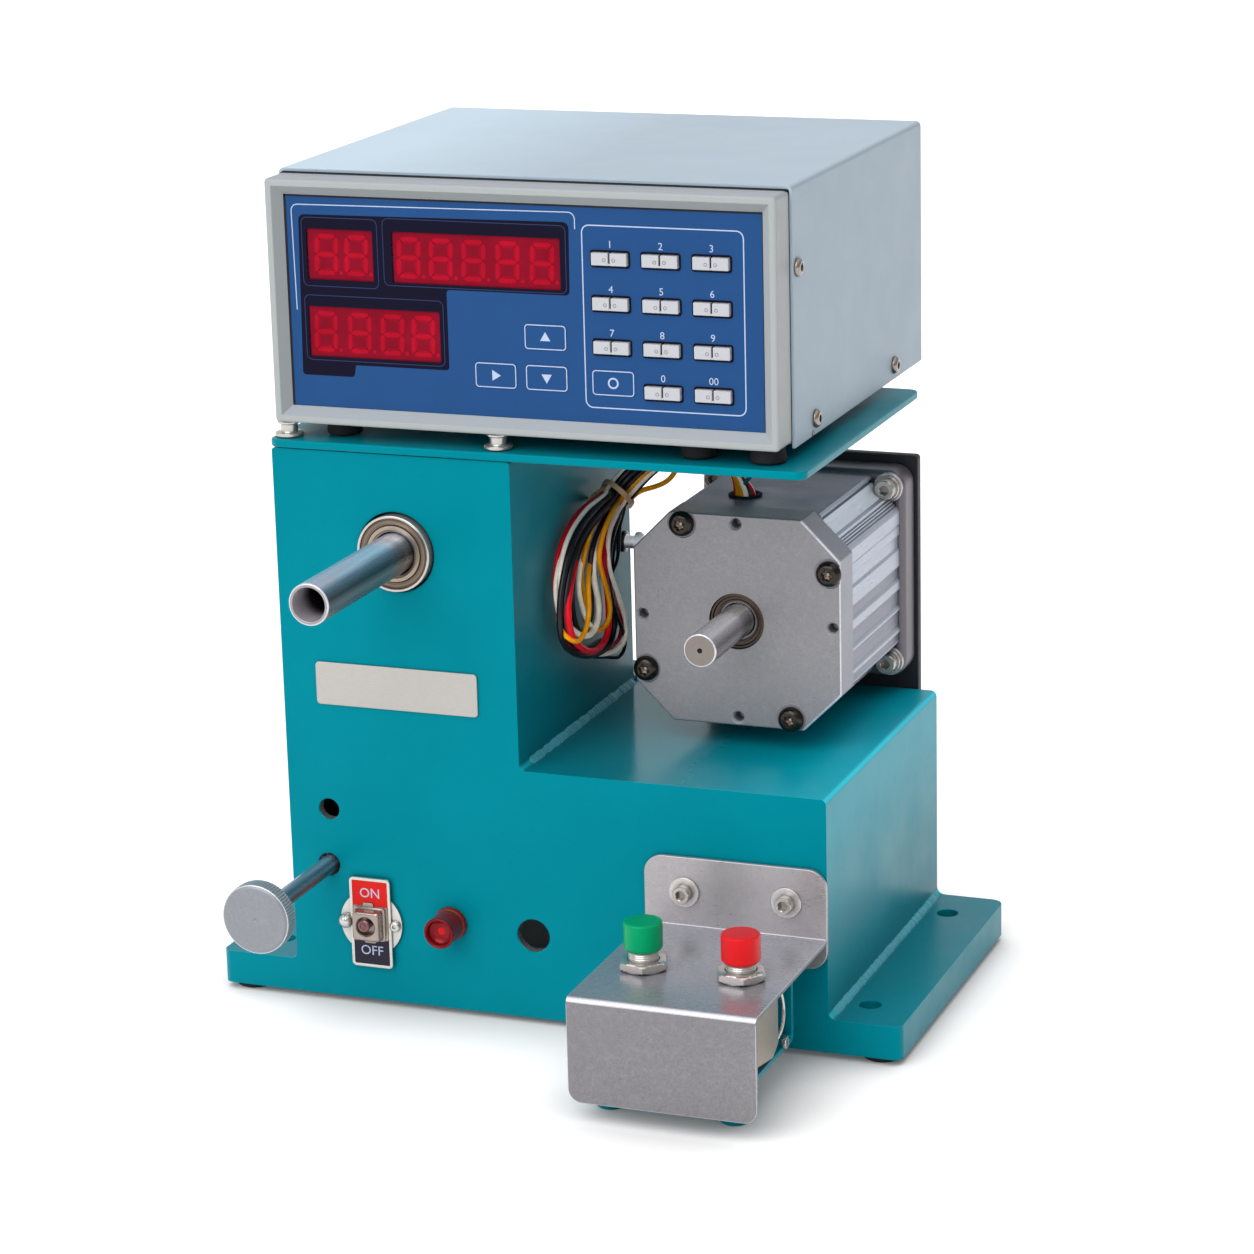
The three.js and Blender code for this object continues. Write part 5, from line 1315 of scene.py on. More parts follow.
# index 1, the bright copy, goes on the tapped holes' chamfers and on the bevels turned to the right: painted
# highlights; index 2, a bluer copy of the face metal, goes on the right-facing sides: painted light
for fc in fp.faces:
    q, n_ = fc.calc_center_median(), fc.normal
    rr = min(math.hypot(q.x - a, q.z - b) for a, b in HOLES)
    if 1.9 < rr < 2.52 and 47.21 < q.y < 48.7:
        fc.material_index = 1
    elif q.y < 47.9 and 0.1 < -n_.y < 0.98 and n_.x > 0.1 and math.hypot(q.x - MX, q.z - MZ) > 35 and rr > 3:
        fc.material_index = 1
    elif abs(n_.y) < 0.2 and q.y < 62.6 and math.hypot(q.x - MX, q.z - MZ) > 37 and (n_.x > 0.5) and rr > 3:
        fc.material_index = 2
obj("motor_front", fp, [M_FACE, M_EDGE_HIGHLIGHT, M_FACE_SIDE], rep=("motor_front_plate",))
seat = round_poly([(7.3, 49.3), (10.2, 49.3), (10.2, 47.9), (9.3, 47.7), (9.0, 48.5), (8.1, 48.5), (7.9, 48.0), (7.3, 48.1)], 0.2, 2)
obj("motor_bearing", lathe(seat, "y", (MX, MZ), 72, closed=True), M_SEAT)
bm = bmesh.new()
for ang in (30, 120, 210, 300):
    th = math.radians(ang)
    L = [ring(4.6, 0, 48), ring(4.75, 0.4, 48)] + [ring(2.5 + 2.25 * math.cos(k / 6 * math.pi / 2), 0.4 + 2.8 * math.sin(k / 6 * math.pi / 2), 48) for k in range(1, 7)]
    star = lambda r, t: [(r * (1 + 0.13 * math.cos(6 * u)) * math.cos(u), r * (1 + 0.13 * math.cos(6 * u)) * math.sin(u), t) for u in [TAU * m / 48 for m in range(48)]]
    L += [star(2.05, 3.22), star(1.85, 3.0), star(1.75, 1.5), ring(0.75, 1.15, 48), ring(0.6, 1.6, 48), ring(0.2, 1.75, 48)]
    q = loft(L)
    # the socket walls take a lighter brown copy and the small dot at the socket's bottom a brighter one: painted
    # highlights
    for fc in q.faces:
        ce = fc.calc_center_median()
        rc_ = math.hypot(ce.x, ce.y)
        fc.material_index = 2 if rc_ < 0.72 and ce.z < 2 else (1 if rc_ < 2.05 and ce.z < 3.15 else 0)
    add(bm, q, place((MX + 40.4 * math.cos(th), 47.5, MZ + 40.4 * math.sin(th)), (0, -1, 0), 0.3 + th))
obj("motor_screws", bm, [M_OXIDE, M_SOCKET, M_RIM])

# ribbed body: one half of the right side's outline, mirrored
b_, k_ = 37.9, 12.5
side = []
lo_, hi_ = b_ - 0.75, b_
side = [(lo_, -25.2)]
for z0, z1 in ((-22.2, -20.2), (-13.6, -11.8), (-5.5, -1.4), (3.4, 10.5)):
    side += [(lo_, z0 - 0.3), (hi_ - 0.04, z0 + 0.4), (hi_, z0 + 0.95), (hi_ - 0.1, z1 - 0.5), (lo_, z1 + 0.5)]
side += [(lo_, 15.0), (hi_ - 0.2, 15.6), (hi_ - 0.2, 18.9), (hi_ - 0.45, 19.2), (hi_ - 0.1, 19.8), (hi_, 20.4), (hi_, 24.6)]
side = [(b_ - 0.4, -b_ + k_)] + side + [(b_ - 0.4, b_ - k_)]
up_ch = []  # the stepped upper corner, from the side to the top
d_in = [(0, 0.0), (0.10, 0.0), (0.105, -0.6), (0.125, -0.6), (0.13, 0.0), (0.16, 0.0), (0.165, -0.6), (0.185, -0.6), (0.19, 0.0), (0.22, 0.0), (0.225, -0.6), (0.245, -0.6), (0.25, 0.0),
        (0.28, 0.0), (0.285, -0.6), (0.305, -0.6), (0.31, 0.0), (0.36, -0.1), (0.44, -0.7), (0.55, -0.95), (0.70, -0.95), (0.82, -0.6), (0.845, -1.3), (0.86, -1.3), (0.875, 0.5), (0.96, 0.6), (1.0, 0)]
for s, off in d_in:
    px, pz = b_ - s * k_, b_ - k_ + s * k_
    up_ch.append((px + off * 0.707, pz + off * 0.707))
half = side + up_ch[1:]
low_ch = [(x, -z) for x, z in up_ch[::-1]]
right_half = low_ch[:-1] + half
outline = right_half + [(-x, z) for x, z in right_half[::-1]]
outline = [(MX + a, MZ + b) for a, b in outline]
body = prism(round_poly(outline, 0.22, 1), "y", 62.8, 123.7)
cut = prism(circle(MX, MZ, 27.5, 64), "y", 60, 126)
add(cut, prism(circle(49.2, 81.7, 5.0, 40), "z", 165, 200))
body = boolean(body, cut)
# painted light and shade on the casing: a darker copy on the top face, a darker copy on the recessed faces between the
# ribs, a very light copy on the upper chamfer facet, and the soft highlight copy on a strip at the foot of each rib
face_mat(body, lambda f: f.normal.z > 0.8 and f.calc_center_median().z > MZ + 36.5, 1)
face_mat(body, lambda f: abs(f.normal.x) > 0.9 and abs(abs(f.calc_center_median().x - MX) - lo_) < 0.12 and f.calc_center_median().z < MZ + 12, 2)
face_mat(body, lambda f: f.normal.z > 0.4 and f.normal.x > 0.4 and MZ + 27.8 < f.calc_center_median().z < MZ + 35.4, 3)
for z0 in (-22.2, -13.6, -5.5, 3.4):
    face_mat(body, lambda f: abs(f.normal.x) > 0.9 and MZ + z0 + 0.45 < f.calc_center_median().z < MZ + z0 + 0.95, 4)
obj("motor_casing", body, [M_BODY, M_BODY_TOP, M_BODY_LOW, M_BODY_FACET, M_SOFT_HIGHLIGHT], rep=("motor_body",), sharp=28)
gl = round_poly([(4.9, 184.2), (6.2, 184.9), (6.3, 185.3), (5.6, 185.6), (4.6, 185.3), (4.2, 184.2)], 0.15, 2)
obj("motor_grommet", lathe(gl, "z", (49.2, 81.7), 40, closed=True), M_RUBBER)

fl = prism(round_poly([(MX + a, MZ + b) for a, b in rect(-39.8, 39.8, -39.8, 39.8)], 6.5, 8), "y", 124.0, 136.5)
bevel(fl, 2.4, 4, 60, where=lambda e: all(v.co.y < 124.1 for v in e.verts))
bevel(fl, 0.6, 2, 60, where=lambda e: all(v.co.y > 136.4 for v in e.verts))
pk = prism(round_poly([(MX + a, MZ + b) for a, b in rect(-36.6, 36.6, -36.6, 36.6)], 4.0, 6), "y", 120, 124.9)
bevel(pk, 0.6, 2, 60, where=lambda e: all(v.co.y > 124.8 for v in e.verts))
fl = boolean(fl, pk)
fl = boolean(fl, prism(circle(MX, MZ, 6.5, 40), "y", 120, 140))
face_mat(fl, lambda f: abs(f.calc_center_median().y - 124.9) < 0.01, 1)
# the pocket's walls take the soft highlight copy: painted highlight
face_mat(fl, lambda f: 124.05 < f.calc_center_median().y < 124.85 and abs(f.normal.y) < 0.9 and max(abs(f.calc_center_median().x - MX), abs(f.calc_center_median().z - MZ)) < 37.5, 2)
obj("motor_flange", fl, [M_FLANGE, M_POCKET, M_SOFT_HIGHLIGHT], rep=("motor_rear_flange",))
bm, bw = bmesh.new(), bmesh.new()
for a, b in ((33.5, 33.5), (33.5, -33.5), (-33.5, 33.5), (-33.5, -33.5)):
    add(bw, washer(2.6, 5.6, 1.4), place((MX + a, 124.9, MZ + b), (0, -1, 0)))
    add(bw, washer(2.6, 4.6, 1.0), place((MX + a, 123.5, MZ + b), (0, -1, 0)))
    add(bm, socket_screw(3.9, 4.2, 1.7, dome=False, depth=2.0), place((MX + a, 122.6, MZ + b), (0, -1, 0), 0.2))
obj("flange_bolts", bm, M_ZINC)
obj("flange_washers", bw, M_WASHER)

p = round_poly([(0, 9.0), (0.9, 8.0), (6.1, 8.0), (6.1, 66), (26.5, 66), (26.5, 118), (6.1, 118), (6.1, 135), (0, 135)], [0, 0.1, 0.55, 0.1, 0.3, 0.3, 0.1, 0.4, 0], 4, False)
bm = lathe(p, "y", (MX, MZ), 80)
face_mat(bm, lambda f: f.calc_center_median().y < 8.2, 1)
# the centre hole of the end face is near-black, painted shade, and the rounded rim of the end face takes the bright
# highlight copy, a painted highlight
face_mat(bm, lambda f: math.hypot(f.calc_center_median().x - MX, f.calc_center_median().z - MZ) < 0.95 and f.calc_center_median().y < 10, 2)
face_mat(bm, lambda f: f.calc_center_median().y < 8.6 and math.hypot(f.calc_center_median().x - MX, f.calc_center_median().z - MZ) > 5.5, 3)
obj("motor_rotor_shaft", bm, [M_SHAFT, M_SHAFT_END, M_SHADE_BLACK, M_EDGE_HIGHLIGHT], body="motor_rotor", rep=("motor_shaft",))

mp = bevel(prism(round_poly([(13, 24), (98.3, 24), (98.3, 189.9), (13, 189.9)], 1.5, 4), "y", 136.8, 140.8), 0.6, 2, 60)
obj("mount_plate", mp, M_BLACK_STEEL, rep=("motor_mount_plate",))
bm = bmesh.new()
for x, z in ((25, 36), (86, 36), (25, 86), (86, 86), (MX - 33.5, MZ - 33.5), (MX + 33.5, MZ - 33.5), (MX - 33.5, MZ + 33.5), (MX + 33.5, MZ + 33.5)):
    add(bm, socket_screw(4.4, 2.6, 1.8, depth=1.7), place((x, 140.8, z), (0, 1, 0)))
obj("mount_screws", bm, M_OXIDE)

# screw with a collar in the tower's right wall
p = round_poly([(0, 0.0), (4.1, 0.0), (4.1, 1.5), (2.9, 1.7), (2.5, 2.2), (2.5, 5.0), (3.0, 5.6), (4.1, 5.8), (4.1, 7.2), (3.2, 8.4), (1.6, 8.5), (1.4, 7.6), (0, 7.6)],
               [0, 0.3, 0.4, 0.2, 0.2, 0.2, 0.2, 0.3, 0.6, 0.5, 0.1, 0.1, 0], 3, False)
bm = bmesh.new()
add(bm, lathe(p, "z", (0, 0), 48), place((TX1 + 0.3, 107, 157), (1, 0, 0)))
# the collar screw glows with its own banded colour: painted light
M_CHROME.node_tree.nodes["Principled BSDF"].inputs["Emission Color"].default_value = lin(200, 206, 210)
chrome_ = M_CHROME.node_tree
chrome_.links.new(chrome_.nodes["Principled BSDF"].inputs["Base Color"].links[0].from_socket, chrome_.nodes["Principled BSDF"].inputs["Emission Color"])
chrome_.nodes["Principled BSDF"].inputs["Emission Strength"].default_value = 0.42
face_mat(bm, lambda f: f.calc_center_median().x < TX1 + 2.1, 1)
obj("collar_screw", bm, [M_CHROME, M_OXIDE], rep=("wall_screw",))

# ================================================================ push rod and knob
RX, RZ = -86.4, 56.0
p = round_poly([(0, -59.9), (3.3, -59.9), (3.3, 5), (6, 5), (6, 8), (3.3, 8), (3.3, 60), (0, 60)], [0, 0.3, 0.1, 0.3, 0.3, 0.1, 0.5, 0], 3, False)
obj("rod_bar", lathe(p, "y", (RX, RZ), 48), M_ROD, body="rod_unit", rep=("push_rod",))
R = 13.0
N_KN = 76


def knurl(r, a, t):
    if r < R - 0.2:
        return r
    return r - 0.5 * (0.5 + 0.5 * math.cos(a * N_KN)) ** 0.7


prof = [(0, -61.6), (0.45, -61.7), (0.75, -62.0), (11.4, -62.0), (11.9, -61.85), (12.45, -61.35), (12.75, -61.2), (R, -60.9), (R, -55.9), (12.7, -55.3), (12.2, -55.0), (3.6, -55.0), (3.6, -59.7), (0, -59.7)]
bm = lathe(prof, "y", (RX, RZ), N_KN * 6, wob=knurl)
face_mat(bm, lambda f: f.calc_center_median().y > -61.35, 1)
obj("knurled_knob", bm, [M_KNOB, M_KNURL], body="rod_unit", rep=("rod_knob",), sharp=40)

# ================================================================ toggle switch
TGX, TGZ = -70.05, 35.3
bm = bevel(prism(circle(TGX + 0.2, TGZ, 12.3, 72), "y", -1.2, -0.3), 0.2, 2, 60)
bm = boolean(bm, prism(circle(TGX, TGZ, 5.2, 32), "y", -3, 1))
obj("toggle_disc", bm, M_NICKEL, rep=("toggle_plate",))
bm = bevel(prism(round_poly([(TGX + a, TGZ + b) for a, b in rect(-7.7, 8.5, -17, 17.6)], 1.4, 4), "y", -1.75, -1.15), 0.2, 2, 60)
bm = boolean(bm, prism(circle(TGX, TGZ, 5.2, 32), "y", -3, 1))
rim = strip(round_poly([(TGX + a, TGZ + b) for a, b in rect(-7.15, 7.95, -16.4, 17.0)], 1.0, 4), 1.1, True, -2.1, -1.5)
add(bm, bevel(rim, 0.15, 2, 60))
obj("toggle_sign", bm, M_NICKEL)
bm = bmesh.new()
add(bm, prism([(TGX + a, TGZ + b) for a, b in ((-6.6, 16.5), (-6.6, 6.6), (7.4, 6.6), (7.4, 16.5))], "y", -1.9, -1.6))
obj("toggle_red_field", bm, M_SIGN_RED)
bm = bmesh.new()
add(bm, prism([(TGX + a, TGZ + b) for a, b in ((-6.6, -5.6), (-6.6, -15.9), (7.4, -15.9), (7.4, -5.6))], "y", -1.9, -1.6))
obj("toggle_black_field", bm, M_SIGN_BLACK)
bm = text_mesh("ON", 5.2, 0.12, front_at(TGX + 0.4, -1.93, TGZ + 11.6))
add(bm, text_mesh("OFF", 5.2, 0.12, front_at(TGX + 0.4, -1.93, TGZ - 10.6)))
obj("toggle_letters", bm, M_PRINT, wn=False)
bm = bmesh.new()
dome = lathe([(0, 3.0), (0.8, 2.95), (1.7, 2.6), (2.5, 1.8), (2.85, 0.8), (2.9, 0), (0, 0)], "z", (0, 0), 36)
add(bm, dome, place((TGX - 9.7, -1.2, TGZ + 0.1), (0, -1, 0)))
add(bm, socket_screw(2.2, 1.6, 0.7, depth=0.6), place((TGX + 9.9, -1.2, TGZ - 0.2), (0, -1, 0)))
obj("toggle_screws", bm, M_NICKEL)
# body behind the wall, square boss in front with its flared foot
bm = bmesh.new()
add(bm, bevel(box(TGX - 8, TGX + 8, 4.3, 28, TGZ - 8.2, TGZ + 8.2), 0.6, 2, 60))
add(bm, prism(circle(TGX, TGZ, 4.9, 32), "y", -1.6, 4.4))
add(bm, bevel(prism(round_poly([(TGX + a, TGZ + b) for a, b in rect(-6.5, 7.3, -6.2, 6.8)], 0.8, 3), "y", -2.1, -1.6), 0.15, 2, 60))
boss = loft([[(TGX + a, y, TGZ + b) for a, b in round_poly(rect(-w, w, -w * 1.04, w * 1.04), r, 4)] for w, r, y in
             ((6.2, 1.0, -1.8), (6.2, 1.0, -2.5), (5.6, 1.1, -2.8), (5.3, 1.3, -5.7), (4.9, 1.4, -6.1), (4.5, 1.5, -6.2))])
boss = boolean(boss, lathe([(0, -7), (3.9, -7), (3.9, -6.1), (3.6, -5.8), (3.6, -3.2), (0, -3.2)], "y", (TGX, TGZ), 40))
add(bm, boss)
add(bm, bevel(prism(round_poly([(TGX + a, TGZ + b) for a, b in ((-2.6, 6.0), (2.0, 6.0), (1.6, 8.2), (-2.2, 8.2))], 0.5, 3), "y", -2.5, -1.8), 0.15, 2, 60))
add(bm, bevel(prism(round_poly([(TGX + a, TGZ + b) for a, b in ((-3.2, -5.6), (3.4, -5.6), (2.2, -7.4), (-1.8, -7.4))], 0.6, 3), "y", -2.7, -1.8), 0.15, 2, 60))
obj("toggle_boss", bm, M_GREY_BOOT, rep=("toggle_switch_body",), sharp=40)
# lever, tilted up about the pivot
p = round_poly([(0, 1.4), (1.7, 1.1), (2.0, 0), (1.5, -1.6), (1.7, -4.6), (2.2, -5.2), (2.35, -5.9), (2.2, -6.7), (1.7, -7.0), (1.35, -7.0), (1.2, -6.75), (0.8, -6.75), (0.7, -7.0), (0, -7.0)],
               [0, 0.3, 0.6, 0.5, 0.4, 0.3, 0.4, 0.3, 0.2, 0.1, 0.1, 0.1, 0.1, 0], 3, False)
bm = bmesh.new()
add(bm, lathe(p, "y", (0, 0), 40), Matrix.Translation((TGX, -1, TGZ)) @ Matrix.Rotation(math.radians(-8), 4, "X"))
obj("toggle_bat", bm, M_LEVER, body="toggle", rep=("toggle_lever",))

# ================================================================ pilot lamp
LX, LZ = -38.3, 38.2
p = round_poly([(0, 22), (4.7, 22), (4.7, -0.3), (6.3, -0.3), (6.3, -1.3), (6.1, -1.6), (5.2, -1.7), (0, -1.7)], [0, 0.2, 0, 0.15, 0.2, 0.1, 0.1, 0], 3, False)
obj("lamp_holder", lathe(p, "y", (LX, LZ), 56), M_LENS)
obj("lamp_band", lathe(round_poly([(4.6, -1.6), (6.05, -1.6), (6.05, -2.5), (4.6, -2.5)], 0.2, 3), "y", (LX, LZ), 56, closed=True), M_LAMP_RING)
p = round_poly([(0, -2.3), (5.4, -2.3), (5.7, -2.6), (5.8, -3.2), (5.6, -9.2), (5.8, -10.2), (5.9, -11.5), (5.6, -12.0), (5.1, -12.0), (4.7, -11.6), (4.3, -10.0), (3.2, -9.3), (1.4, -9.0), (0, -9.3)],
               [0, 0.1, 0.1, 0.2, 0.3, 0.3, 0.3, 0.3, 0.3, 0.3, 0.6, 0.6, 0.4, 0], 4, False)
bm = lathe(p, "y", (LX, LZ), 64)
for fc in bm.faces:
    q = fc.calc_center_median()
    rr = math.hypot(q.x - LX, q.z - LZ)
    fc.material_index = 2 if rr < 1.5 and q.y < -8 else (1 if q.y < -9.9 and rr > 4.4 else 0)
obj("lamp_lens_cap", bm, [M_LENS, M_LENS_RIM, M_LENS_GLOW], rep=("pilot_lamp",))

# ================================================================ bare plate on the tower
pl = prism(round_poly([(-87.8, 117.8), (-24.5, 117.8), (-24.5, 133.8), (-87.8, 133.8)], 1.5, 5), "y", -0.75, -0.02)
obj("blank_plate", bevel(pl, 0.25, 3, 60), M_PLATE)

# ================================================================ switch bracket
T = 1.7
bp = bevel(prism(round_poly(rect(38, 106, 36.5, 73.4), 7, 8), "y", -2.0, -0.3), 0.35, 3, 60)
# the back plate is a lighter copy of the bracket's stainless, painted light, and the bevels round its front face take
# the soft highlight copy, a painted highlight
face_mat(bp, lambda f: -1.97 < f.calc_center_median().y < -1.6 and f.normal.y < -0.1 and abs(f.normal.y) < 0.98, 1)
obj("bracket_back", bp, [M_BACKPLATE, M_SOFT_HIGHLIGHT], rep=("switch_bracket",))
path = round_poly([(-1.95, 47.9), (-79.2, 47.9), (-79.2, 9.8), (-77.5, 9.8), (-77.5, 46.2), (-1.95, 46.2)], [0, 2.4, 0, 0, 0.7, 0], 6)
sh = prism(path, "x", 38, 106)
keep = prism(round_poly(rect(38, 106, 9.8, 60), [5, 5, 0, 0], 8), "y", -90, 10)
sh = boolean(sh, keep, "INTERSECT")
cut = bmesh.new()
for x in (53.8, 89.3):
    add(cut, prism(circle(x, -45.5, 5.8, 40), "z", 40, 55))
sh = boolean(sh, cut)
bevel(sh, 0.3, 2, 60, where=lambda e: e.is_convex and not all(v.co.y > -3 for v in e.verts))
# the shelf's top takes a lighter copy of the stainless, painted light; the bend and the bevelled edges of shelf and
# apron take the highlight copies, painted highlights
face_mat(sh, lambda f: f.calc_center_median().z > 46 and f.calc_center_median().y > -78.6, 1)
face_mat(sh, lambda f: (f.calc_center_median().z > 45.2 and f.calc_center_median().y < -76.7 and f.normal.z > 0.3 and f.normal.y < -0.3), 3)
face_mat(sh, lambda f: (f.calc_center_median().z > 45.2 and f.calc_center_median().y < -76.7 and f.normal.z > 0.55 and f.normal.y < -0.55), 2)
face_mat(sh, lambda f: (f.calc_center_median().z > 47.6 and abs(f.normal.x) > 0.1 and f.normal.z > 0.1) or (f.normal.y < -0.1 and abs(f.normal.y) < 0.97 and f.calc_center_median().y < -78.8 and f.calc_center_median().z < 45), 3)
obj("bracket_shelf", sh, [M_STAINLESS, M_SHELF, M_EDGE_HIGHLIGHT, M_SOFT_HIGHLIGHT])
# the crease between shelf and back plate takes the soft highlight copy: painted highlight line
cr = [(-1.9, 47.7), (-2.0, 48.4)] + [(-2.5 + 0.5 * math.cos(t_), 48.4 + 0.5 * math.sin(t_)) for t_ in [-k * math.pi / 10 for k in range(1, 6)]] + [(-2.5, 47.8)]
obj("bracket_crease", prism(cr, "x", 38.4, 105.6), M_SOFT_HIGHLIGHT)
bm, bw = bmesh.new(), bmesh.new()
for x in (53.2, 91.2):
    add(bw, washer(3.0, 5.6, 1.0), place((x, -2.0, 60.5), (0, -1, 0)))
    add(bm, socket_screw(3.3, 3.6, 1.7, dome=False, depth=2.0), place((x, -3.0, 60.5), (0, -1, 0), 0.25))
obj("bracket_bolts", bm, M_ZINC)
obj("bracket_washers", bw, M_WASHER)

# ================================================================ push buttons
for nm, x, capmat, slotname, dz, spin in (("start", 53.8, M_GREEN, "cap_green", 0.0, 0.30), ("stop", 89.3, M_RED, "cap_red", -0.7, 0.42)):
    y = -45.5
    bm = bmesh.new()
    add(bm, hex_nut(15.9, 3.3, 5.45), Matrix.Translation((x, y, 48.2)) @ Matrix.Rotation(spin, 4, "Z"))
    # threaded neck
    nk = [(2.9, 59.5), (5.0, 59.5), (5.2, 59.3)]
    z = 58.6
    while z > 52.2:
        nk += [(5.25, z), (5.05, z - 0.35)]
        z -= 0.7
    nk += [(5.3, 51.8), (5.3, 47.9), (5.3, 41), (2.9, 41)]
    neck = lathe(nk, "z", (x, y), 56, closed=True)
    for fc in neck.faces:
        fc.material_index = 1
    add(bm, neck)
    add(bm, bevel(hex_nut(14.8, 2.8, 5.4), 0.01, 1, 179), Matrix.Translation((x, y, 43.0)))
    add(bm, bevel(box(x - 8, x + 8, y - 8, y + 8, 24.5, 41), 0.5, 2, 60))
    obj(nm + "_switch", bm, [M_NUT, M_NECK], rep=(nm + "_button_body",))
    p = round_poly([(0, 65.3), (6.85, 65.3), (6.85, 55.9), (5.9, 54.8), (5.6, 54.8), (5.6, 63), (2.5, 63), (2.5, 38), (0, 38)], [0, 0.9, 0.8, 0.2, 0.1, 0.2, 0.1, 0.2, 0], 5, False)
    p = [(r, z + dz + (0.25 * (1 - (r / 6.0) ** 2) if z > 65 and r < 6 else 0)) for r, z in p]
    obj(nm + "_cap", lathe(p, "z", (x, y), 72), capmat, body=nm + "_cap", rep=(nm + "_button_cap",))

# ================================================================ tray under the switches
tr = round_poly([(-68, 19), (-25, 19), (-25, 45.9), (-27, 45.9), (-27, 21), (-68, 21)], [0.3, 2.2, 0.4, 0.4, 0.6, 0.3], 4)
bm = bevel(prism(tr, "x", 39.5, 101), 0.3, 2, 60)
for x, y in ((46.8, -61), (91.9, -61.5)):
    add(bm, lathe([(0, 2.6), (4.9, 2.6), (5.4, 3.1), (5.5, 4), (5.5, 19.2), (0, 19.2)], "z", (x, y), 40))
obj("tray_skin", bm, M_TEAL, rep=("switch_tray",))
sd = bevel(prism(round_poly([(-73, 46.0), (-73, 26.5), (-52, 23.0), (-46, 26.2), (-46, 46.0)], [0.3, 1.0, 1.5, 1.0, 0.3], 3), "x", 101.4, 102.6), 0.25, 2, 60)
obj("tray_side_plate", sd, M_BEIGE)
bm = bmesh.new()
add(bm, tube_path(catmull([(99.6, -38.0, 24.4), (100.6, -37.6, 27.2), (100.9, -36.0, 30.0), (100.6, -34.4, 33.6), (100.2, -34.2, 37.2), (99.6, -34.4, 40.0)], 5), 0.6, 12))
obj("tray_clip", bm, M_NICKEL)
bm = bmesh.new()
add(bm, socket_screw(2.1, 1.5, 0.9, dome=False, depth=0.8), place((101.0, -36.0, 22.4), (1, 0, 0)))
add(bm, socket_screw(2.8, 1.9, 1.2, depth=1.0), place((97.5, -44.5, 19.0), (0, 0, -1)))
obj("tray_screws", bm, M_NICKEL)

# ================================================================ carried-over nodes: finish and softened edges
KEEP = {
    "box_chassis": (M_COVER, 0.25), "control_board": (M_PCB, 0.0), "power_inlet": (M_BLACKP, 0.35), "bulkhead": (M_ALU, 0.3),
    "rear_bearing": (M_RING, 0.2), "spindle_pulley": (M_ALU, 0.2), "turn_disc": (M_BLACKP, 0.1), "turn_sensor": (M_BLACKP, 0.25),
    "spindle_motor": (M_BLACK_STEEL, 0.4), "drive_pulley": (M_ALU, 0.2), "drive_belt": (M_RUBBER, 0.2),
}
for nm, (mt, wd) in KEEP.items():
    o = NODES[nm]
    o.data.materials.clear()
    o.data.materials.append(mt)
    if wd:
        bv = o.modifiers.new("edge", "BEVEL")
        bv.width = wd * MM
        bv.segments = 2
        bv.limit_method = "ANGLE"
        bv.angle_limit = math.radians(50)

# ================================================================ floor, lights
me = bpy.data.meshes.new("floor")
S = 30.0
me.from_pydata([(-S, -S, 0), (S, -S, 0), (S, S, 0), (-S, S, 0)], [], [(0, 1, 2, 3)])
floor = bpy.data.objects.new("floor", me)
bpy.context.scene.collection.objects.link(floor)
fm = Mat("floor_white", (0.66, 0.65, 0.645, 1), 0.7)
fm.set_color(fm.vary(fm.noise(2.0, 3, 0.5), 0.985, 1.0))
fm.set(Specular_IOR_Level=0.1)
# painted contact shadow: the floor's glow is darkened where the AO node finds the machine close by
fao = fm.node("ShaderNodeAmbientOcclusion")
fao.samples = 12
fao.inputs["Distance"].default_value = 0.05
near = fm.remap(fao.outputs["AO"], 0.40, 1.0, 0.0, 1.0)
fm.link(fm.mix(near, (0.10, 0.10, 0.10, 1), (1, 1, 1, 1)), fm.b.inputs["Emission Color"])
fm.b.inputs["Emission Strength"].default_value = 0.56
fm.m.cycles.emission_sampling = "NONE"
me.materials.append(fm.m)


def sun(name, toward, power, angle, color=(1, 1, 1)):
    d = bpy.data.lights.new(name, "SUN")
    d.energy = power
    d.angle = math.radians(angle)
    d.color = color
    o = bpy.data.objects.new(name, d)
    bpy.context.scene.collection.objects.link(o)
    o.rotation_euler = Vector(toward).to_track_quat("Z", "Y").to_euler()
    return o


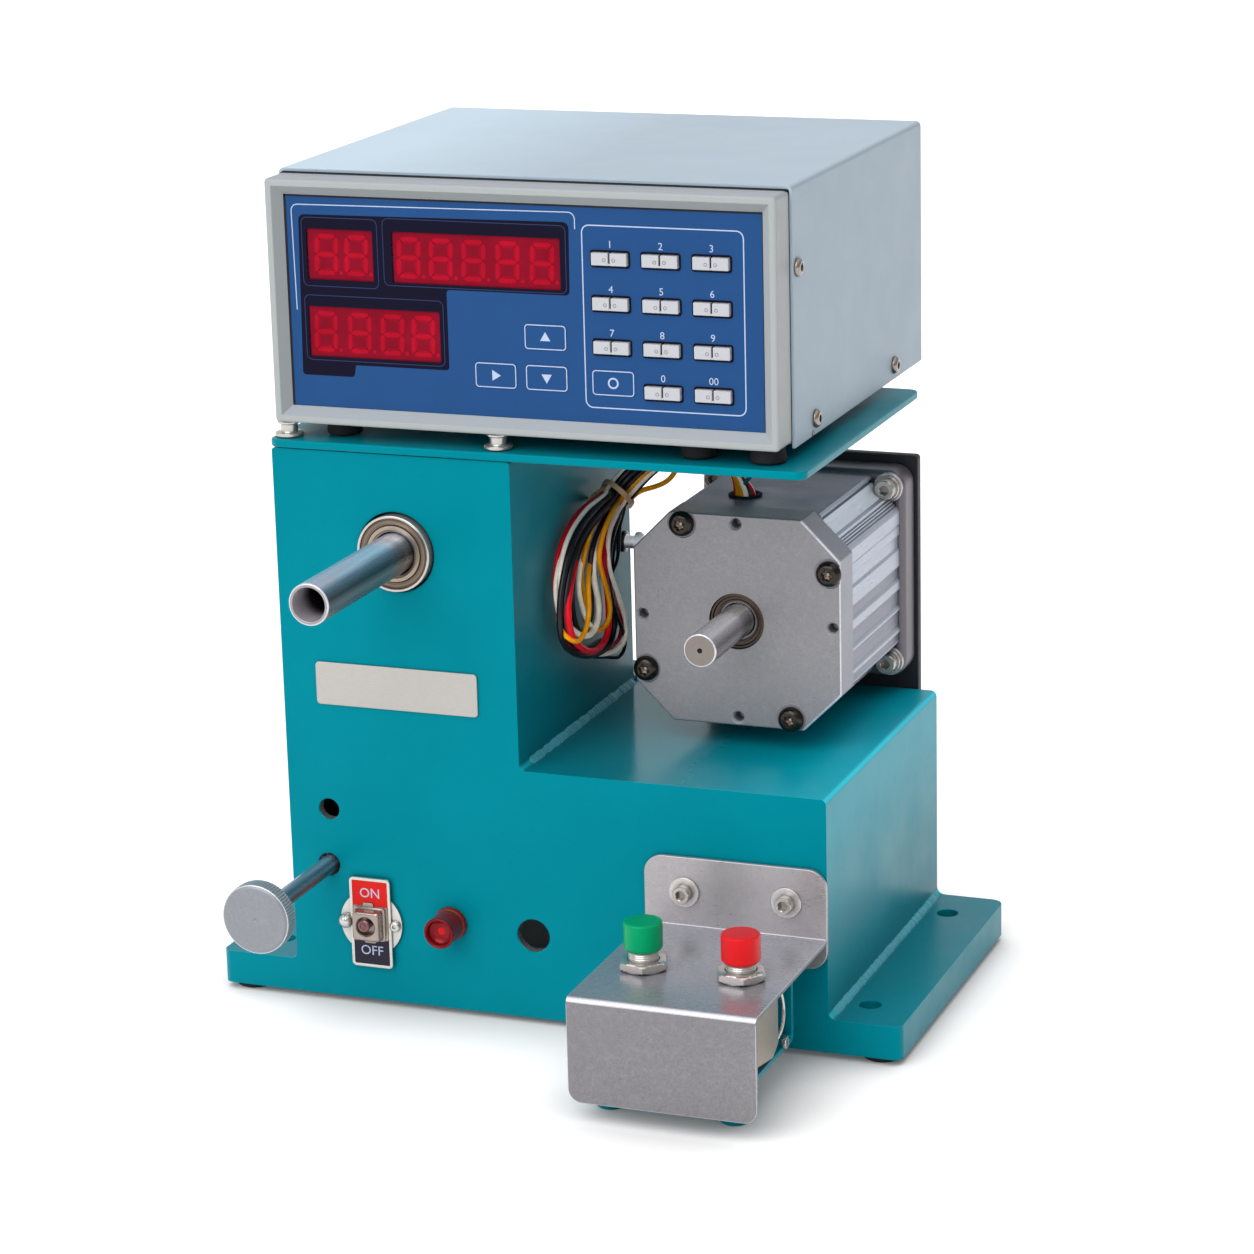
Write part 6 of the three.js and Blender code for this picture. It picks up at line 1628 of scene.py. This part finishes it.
def area(name, loc, target, size, power, color=(1, 1, 1), size_y=None):
    d = bpy.data.lights.new(name, "AREA")
    d.energy = power
    d.color = color
    d.shape = "RECTANGLE" if size_y else "SQUARE"
    d.size = size
    if size_y:
        d.size_y = size_y
    o = bpy.data.objects.new(name, d)
    bpy.context.scene.collection.objects.link(o)
    o.location = loc
    o.rotation_euler = (Vector(target) - Vector(loc)).to_track_quat("-Z", "Y").to_euler()
    return o


sun("sun_front", (-0.14, -0.76, 0.62), 1.64, 50)
sun("sun_top", (0.0, -0.05, 1.0), 1.2, 100)
area("soft_left", (-1.5, -1.6, 0.9), (0.0, 0.0, 0.15), 0.8, 3.0, (1.0, 1.0, 1.0), 1.3)

world = bpy.data.worlds.new("world")
bpy.context.scene.world = world
world.use_nodes = True
wn = world.node_tree
wn.nodes.clear()
wo = wn.nodes.new("ShaderNodeOutputWorld")
bg = wn.nodes.new("ShaderNodeBackground")
tc = wn.nodes.new("ShaderNodeTexCoord")
sep = wn.nodes.new("ShaderNodeSeparateXYZ")
ramp = wn.nodes.new("ShaderNodeValToRGB")
wn.links.new(tc.outputs["Generated"], sep.inputs[0])
mr = wn.nodes.new("ShaderNodeMapRange")
mr.inputs["From Min"].default_value = 0.0
mr.inputs["From Max"].default_value = 1.0
wn.links.new(sep.outputs["Z"], mr.inputs["Value"])
wn.links.new(mr.outputs[0], ramp.inputs[0])
ramp.color_ramp.elements[0].position = 0.15
ramp.color_ramp.elements[0].color = (0.82, 0.83, 0.85, 1)
ramp.color_ramp.elements[1].position = 0.75
ramp.color_ramp.elements[1].color = (0.50, 0.51, 0.52, 1)
wn.links.new(ramp.outputs[0], bg.inputs[0])
dim = wn.nodes.new("ShaderNodeMapRange")
dim.inputs["From Min"].default_value = 0.0
dim.inputs["From Max"].default_value = 0.9
dim.inputs["To Min"].default_value = 1.0
dim.inputs["To Max"].default_value = 0.45
wn.links.new(sep.outputs["X"], dim.inputs["Value"])
wn.links.new(dim.outputs[0], bg.inputs[1])
wn.links.new(bg.outputs[0], wo.inputs[0])

vs = bpy.context.scene.view_settings
vs.view_transform = "Standard"
vs.look = "None"
vs.exposure = 0.0
vs.gamma = 1.0
